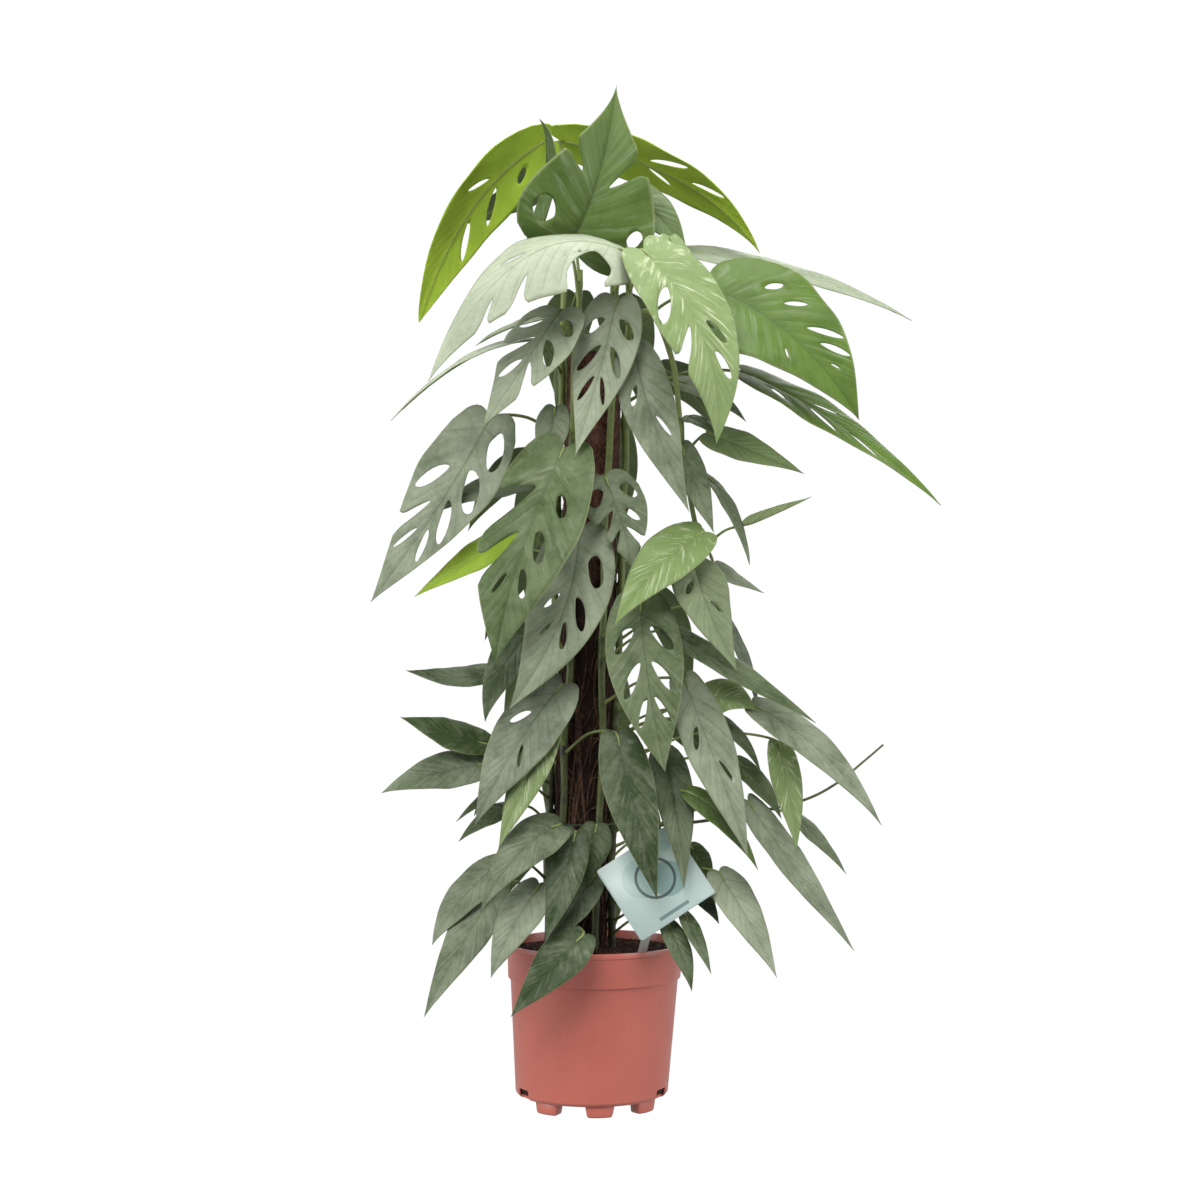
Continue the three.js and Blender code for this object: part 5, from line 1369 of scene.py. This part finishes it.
def turned_round(mesh, degrees):
    """The mesh turned about the pot's axis and slanted with the pot."""
    mesh.transform(Matrix.Rotation(math.radians(degrees), 4, "Z"))
    points = np.array([v.co[:] for v in mesh.vertices]) / MM
    mesh.vertices.foreach_set("co", (askew(points) * MM).ravel())
    return mesh


def boolean(piece, tools, operation):
    """Cuts or joins closed tool meshes into a piece, and removes the tools."""
    made = [add_object(f"{piece.name}_tool_{i}", mesh) for i, mesh in enumerate(tools)]
    for tool in made:
        modifier = piece.modifiers.new(tool.name, "BOOLEAN")
        modifier.operation = operation
        modifier.solver = "EXACT"
        modifier.object = tool
    piece = plain_mesh(piece, piece.name)
    for tool in made:
        bpy.data.objects.remove(tool)
    return piece


def make_pot():
    inner_band = BAND_TOP_RADIUS - POT_WALL
    profile = rounded([
        (0, POT_BOTTOM),
        (WALL_BOTTOM_RADIUS - 2.5, POT_BOTTOM),
        (WALL_BOTTOM_RADIUS, POT_BOTTOM + 3),
        (WALL_TOP_RADIUS, BAND_BOTTOM),
        (BAND_BOTTOM_RADIUS, BAND_BOTTOM),
        (BAND_TOP_RADIUS, LIP_BOTTOM),
        (LIP_RADIUS, LIP_BOTTOM + 0.4),
        (LIP_RADIUS - 0.1, POT_TOP),
        (inner_band, POT_TOP),
        (BAND_BOTTOM_RADIUS - POT_WALL, BAND_BOTTOM + 2),
        (WALL_TOP_RADIUS - POT_WALL, BAND_BOTTOM),
        (WALL_BOTTOM_RADIUS - POT_WALL, POT_BOTTOM + 3),
        (0, POT_BOTTOM + 2),
    ], 0.9, 4)
    shell = add_object("pot_shell", lathe("pot_shell", profile, POT_SEGMENTS, askew))
    half = FOOT_TOP_WIDTH / 2
    foot = [(FOOT_INNER, 4 - half), (FOOT_OUTER - 3, -half), (FOOT_OUTER - 0.7, -half / 2), (FOOT_OUTER, 0),
            (FOOT_OUTER - 0.7, half / 2), (FOOT_OUTER - 3, half), (FOOT_INNER, half - 4)]
    taper = FOOT_BOTTOM_WIDTH / FOOT_TOP_WIDTH
    feet = [turned_round(prism("foot", foot, 0, POT_BOTTOM + 1, taper, FOOT_BEVEL), angle)
            for angle in FOOT_ANGLES]
    pad = circle(PAD_RADIUS, 0, 28)[:, :2]
    feet.append(turned_round(prism("pad", pad, 0, POT_BOTTOM + 1, 1, PAD_BEVEL), 0))
    inner, outer, half = WALL_BOTTOM_RADIUS - NOTCH_DEPTH, WALL_BOTTOM_RADIUS + 6, NOTCH_WIDTH / 2
    notch = [(inner, -half), (outer, -half), (outer, half), (inner, half)]
    notches = [turned_round(prism("notch", notch, -4, NOTCH_TOP, 1, NOTCH_BEVEL), angle)
               for angle in NOTCH_ANGLES]
    shell = boolean(shell, feet, "UNION")
    shell = boolean(shell, notches, "DIFFERENCE")
    smooth(shell.data, POT_CREASE)
    declare(shell, "pot_plastic", "pot")


def soil_height(radius):
    return SOIL_TOP + SOIL_RISE * (1 - radius / SOIL_RADIUS)


def make_soil():
    """The soil bed, and crumbs and fibres strewn over the top of it."""
    heave, lumps = Ripple(seed=31, wavelength=48), Ripple(seed=32, wavelength=9)
    profile = [
        (0, POT_BOTTOM + 2.6),
        (SOIL_FOOT_RADIUS, POT_BOTTOM + 4.6),
        (WALL_TOP_RADIUS - 2.1, BAND_BOTTOM - 0.4),
        (BAND_BOTTOM_RADIUS - 2.3, BAND_BOTTOM + 2.5),
        (SOIL_RADIUS, SOIL_TOP - 1),
        *((radius, soil_height(radius)) for radius in np.linspace(SOIL_RADIUS - 0.6, 3, 44)),
        (0, soil_height(0)),
    ]

    def heaved(points):
        top = points[:, 2] > SOIL_TOP - 0.5
        points[top, 2] += SOIL_HEAVE * heave.at(points[top]) + SOIL_LUMPS * lumps.at(points[top]) - 0.6
        return askew(points)

    mesh = lathe("soil_bed", profile, SOIL_SEGMENTS, heaved)
    smooth(mesh)
    declare(add_object("soil_bed", mesh), "soil", "soil")
    radii = np.linspace(SOIL_RADIUS - 5, 24, 12)
    rings = [circle(radius, soil_height(radius) - 0.4, STREWN_SEGMENTS) for radius in radii]
    points = heaved(np.concatenate(rings) - [0.2, 0, 0])
    for name, tree, values in (
        ("soil_crumbs", CRUMBS, {"Density": 52000.0, "Smallest": 0.0008, "Largest": 0.0026, "Seed": 4}),
        ("soil_fibres", FIBRES,
            {"Density": 12000.0, "Length": 0.018, "Radius": 0.0003, "Lean": 0.35, "Seed": 9}),
    ):
        bed = mesh_of(name + "_bed", points, ring_faces(len(rings), STREWN_SEGMENTS))
        declare(grown(name, bed, tree, **values), "soil", None)


def pole_frame():
    """Turn and place that carry an upright shape on the z axis to the leaning pole."""
    lean = Vector(POLE_HEAD) - Vector(POLE_FOOT)
    turn = Vector((0, 0, 1)).rotation_difference(lean.normalized()).to_matrix().to_4x4()
    return Matrix.Translation(Vector(POLE_FOOT) * MM) @ turn, lean.length


def make_pole():
    """The felt sleeve with its seam, and loose fibres all over it."""
    place, length = pole_frame()
    folds, pits = Ripple(seed=41, wavelength=70), Ripple(seed=42, wavelength=11)
    turns = np.linspace(0, 2 * math.pi, FELT_COLUMNS, endpoint=False)
    seam = SEAM_HEIGHT * np.exp(-((turns - SEAM_TURN) / SEAM_WIDTH) ** 2)
    rings = []
    for height in np.linspace(0, length, FELT_ROWS):
        ring = circle(FELT_RADIUS, height, FELT_COLUMNS)
        radius = FELT_RADIUS + FELT_FOLDS * folds.at(ring * [1, 1, 0.3]) + FELT_PITS * pits.at(ring) + seam
        rim = min(height, length - height, FELT_EDGE) / FELT_EDGE
        rings.append(circle(radius - 0.9 * (1 - rim) ** 2, height, FELT_COLUMNS))
    skin = mesh_of("pole_skin", np.concatenate(rings), ring_faces(FELT_ROWS, FELT_COLUMNS))
    skin.transform(place)
    rings += [circle(FELT_BORE, height, FELT_COLUMNS) for height in (length - 0.2, length - 4, 4, 0.2)]
    mesh = mesh_of("pole_felt", np.concatenate(rings), ring_faces(len(rings), FELT_COLUMNS, True))
    outward(mesh).transform(place)
    smooth(mesh, FELT_CREASE)
    declare(add_object("pole_felt", mesh), "coir", "pole_wrap")
    made = grown("pole_fibres", skin, FIBRES,
                 Density=26000.0, Length=0.012, Radius=0.00016, Lean=0.3, Seed=12)
    declare(made, "coir", None)


def make_roots():
    """Aerial roots: they leave the stems at their nodes and cling to the pole, thickest low down."""
    draw = np.random.default_rng(ROOT_SEED)
    lines = Lines()
    share = np.linspace(0, 1, 14)
    far, near = STEM_RING - 2, FELT_RADIUS + ROOT_LIFT
    distance = far - (far - near) * np.clip(share * 4, 0, 1)
    for angle, _ in STEMS.values():
        for height in np.arange(ROOTS_FOOT, ROOTS_TOP, ROOTS_STEP):
            for _ in range(2 if height < DENSE_ROOTS_TOP else 1):
                start = height + draw.uniform(-7, 7)
                drop = draw.uniform(14, 70)
                swing = draw.uniform(-42, 42)
                wiggle = 4 * np.sin(share * draw.uniform(4, 9) + draw.uniform(0, 6)) * share
                turn = np.radians(angle + swing * share ** 0.7 + wiggle)
                heights = start - drop * share + 3 * np.sin(share * draw.uniform(3, 8))
                thick = draw.uniform(0.7, 1.35) * (1 - 0.65 * share)
                lines.add(beside_pole(heights, distance, turn), thick, 0.2)
    share = np.linspace(0, 1, 22)
    for _ in range(LONG_ROOTS):
        start = draw.uniform(300, 590)
        heights = start - share * min(draw.uniform(90, 280), start - 176)
        turn = draw.uniform(0, 2 * math.pi) + 0.16 * np.sin(share * draw.uniform(3, 8) + draw.uniform(0, 6))
        thick = draw.uniform(0.9, 2.2) * np.sin(math.pi * np.clip(0.06 + 0.9 * share, 0, 1)) ** 0.4
        lines.add(beside_pole(heights, FELT_RADIUS + 0.5 * thick, turn), thick, 0.2)
    declare(lines.tubes("aerial_roots", 6), "leaf", None, "root")


def make_tie():
    """Garden wire round the pole and the stems, its ends twisted together at the front left."""
    turns = np.linspace(0, 2 * math.pi, 96, endpoint=False)
    ring = beside_pole(TIE_HEIGHT, TIE_RADIUS, turns)
    ring[:, 2] += 0.54 * np.sin(2 * turns + 0.5)
    lines = Lines()
    lines.add(ring, TIE_THICKNESS * 0.9, 0.5, closed=True)
    corner = math.radians(TIE_CORNER)
    out = np.array([math.cos(corner), math.sin(corner), -0.5])
    side = unit(np.cross(out, [0, 0, 1]))
    above = unit(np.cross(side, out))
    along = np.linspace(0, 1, 40)[:, None]
    for phase in (0, math.pi):
        twist = along * 5 * math.pi + phase
        strand = beside_pole(TIE_HEIGHT, TIE_RADIUS, corner) + out * TIE_TAIL * along
        strand = strand + TIE_THICKNESS * (side * np.cos(twist) + above * np.sin(twist))
        lines.add(strand, TIE_THICKNESS * 0.72, 0.5)
    declare(lines.tubes("tie_wire", 10), "tie", "stem_tie")


def make_card():
    """The square card, its corners and edges rounded, turned on its corner before the pole."""
    corners = []
    for x_side, z_side, start in ((1, 1, 0), (-1, 1, 90), (-1, -1, 180), (1, -1, 270)):
        for step in range(6):
            angle = math.radians(start + step * 18)
            corners.append((x_side * (CARD_WIDTH / 2 - CARD_CORNER) + CARD_CORNER * math.cos(angle),
                            z_side * (CARD_HEIGHT / 2 - CARD_CORNER) + CARD_CORNER * math.sin(angle)))
    half = CARD_THICKNESS / 2
    levels = ((CARD_EDGE, -half), (0, CARD_EDGE - half), (0, half - CARD_EDGE), (CARD_EDGE, half))
    rings = [[(x * (1 - 2 * inset / CARD_WIDTH), depth, z * (1 - 2 * inset / CARD_HEIGHT))
              for x, z in corners] for inset, depth in levels]
    mesh = capped("card_plate", rings)
    layer = mesh.uv_layers.new(name=CARD_UV)
    for loop in mesh.loops:
        x, _, z = mesh.vertices[loop.vertex_index].co / MM
        layer.data[loop.index].uv = (x / CARD_WIDTH, z / CARD_WIDTH)
    turn = Vector((0, -1, 0)).rotation_difference(Vector(CARD_FACING).normalized()).to_matrix()
    turn = turn @ Matrix.Rotation(math.radians(CARD_TURN), 3, "Y")
    mesh.transform(Matrix.Translation(Vector(CARD_CENTRE) * MM) @ turn.to_4x4())
    smooth(mesh, LABEL_CREASE)
    declare(add_object("card_plate", mesh), "card", "label_card")


def make_stake():
    """The flat stake, straight up out of the soil and bent flat against the back of the card."""
    back = np.array(Vector(CARD_FACING).normalized())
    head = np.array(CARD_CENTRE) - back * ((CARD_THICKNESS + STAKE_THICKNESS) / 2 + STAKE_GAP)
    foot = np.array(STAKE_FOOT, float)

    def flat(vector):
        vector = np.array(vector, float)
        return vector - back * (vector @ back)

    bend = head + flat((-1, 0, -STAKE_BEND))
    top = head + flat((1, 0, STAKE_OVERLAP))
    across = unit(np.cross(unit(head - foot), back))
    line = [foot + (bend - foot) * share for share in np.linspace(0, 0.96, 14)]
    line += [bend, *(bend + (top - bend) * share for share in (0.04, 0.3, 0.6, 0.9, 0.97, 1.0))]
    section = []
    for angle in 2 * math.pi * (np.arange(16) + 0.5) / 16:
        wide, thick = (math.copysign(abs(part) ** STAKE_ROUNDING, part)
                       for part in (math.cos(angle), math.sin(angle)))
        section.append((across * wide * STAKE_WIDTH / 2, back * thick * STAKE_THICKNESS / 2))
    widths = [1] * (len(line) - 2) + [0.85, 0.55]
    rings = [[middle + aside * width + behind for aside, behind in section]
             for middle, width in zip(line, widths)]
    mesh = capped("stake_strip", rings)
    smooth(mesh, LABEL_CREASE)
    declare(add_object("stake_strip", mesh), "stake", "label_stake")


make_pot()
make_soil()
make_pole()
make_roots()
make_tie()
make_card()
make_stake()
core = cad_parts["pole_core"]
core.data.materials.clear()
core.data.materials.append(MATERIALS["tube_plastic"])


# Floor, light and camera

FLOOR_SIZE = 6.0
CAMERA_PLACE = (0.0053, -2.558, 0.541)
CAMERA_LENS = 71.4
CAMERA_SENSOR = 36
WHITE = 1.02

# Lamps: name, place, what it faces, width, power in watts and colour.
LIGHTS = (
    ("key", (-0.7, -2.5, 2.6), (0, 0, 0.5), 2.0, 76, (1, 0.99, 0.97)),
    ("left wall", (-2.0, -0.9, 0.8), (0, 0, 0.5), 2.2, 36, (1, 1, 1)),
    ("right wall", (2.0, -0.9, 0.8), (0, 0, 0.5), 2.2, 38, (1, 1, 1)),
    ("ceiling", (0.2, -0.2, 2.7), (0, 0, 0.6), 1.6, 40, (1, 1, 1)),
    ("back wall", (0.4, 2.6, 1.5), (0, 0, 0.5), 2.2, 34, (1, 1, 1)),
)


def white_strength(nodes, cast, mirrored):
    """How strong a white surround is: as light, as seen in gloss, and pure white to the camera."""
    path = nodes.put("ShaderNodeLightPath")
    shone = nodes.put("ShaderNodeMapRange", path.outputs["Is Glossy Ray"], 0.0, 1.0, cast, mirrored)
    return nodes.put("ShaderNodeMapRange", path.outputs["Is Camera Ray"], 0.0, 1.0, shone, WHITE)


def make_world():
    world = bpy.data.worlds.new("studio")
    world.use_nodes = True
    world.node_tree.nodes.clear()
    nodes = Nodes(world.node_tree)
    light = nodes.put("ShaderNodeBackground", (1, 1, 1, 1), white_strength(nodes, 0.17, 0.55))
    nodes.put("ShaderNodeOutputWorld", sockets={"Surface": light})
    scene.world = world


def make_floor():
    half = FLOOR_SIZE / 2 / MM
    mesh = mesh_of("floor", [(-half, -half, 0), (half, -half, 0), (half, half, 0), (-half, half, 0)],
                   [[0, 1, 2, 3]])
    material, nodes = blank_material("white floor")
    glow = nodes.put("ShaderNodeEmission", (1, 1, 1, 1), white_strength(nodes, 0.26, 0.5))
    nodes.put("ShaderNodeOutputMaterial", sockets={"Surface": glow})
    mesh.materials.append(material)
    add_object("floor", mesh)


def make_lights():
    for name, place, target, width, power, tint in LIGHTS:
        lamp = bpy.data.lights.new(name, "AREA")
        lamp.shape = "DISK"
        lamp.size = width
        lamp.energy = power
        lamp.color = tint
        holder = add_object(name, lamp)
        holder.location = place
        holder.rotation_euler = (Vector(target) - Vector(place)).to_track_quat("-Z", "Y").to_euler()


def make_camera():
    camera = bpy.data.cameras.new("camera")
    camera.sensor_width = CAMERA_SENSOR
    camera.lens = CAMERA_LENS
    camera.clip_end = 50
    holder = add_object("camera", camera)
    holder.location = CAMERA_PLACE
    holder.rotation_euler = (math.radians(90), 0, 0)
    scene.camera = holder


make_world()
make_floor()
make_lights()
make_camera()
scene.view_settings.view_transform = "Standard"
scene.view_settings.look = "None"
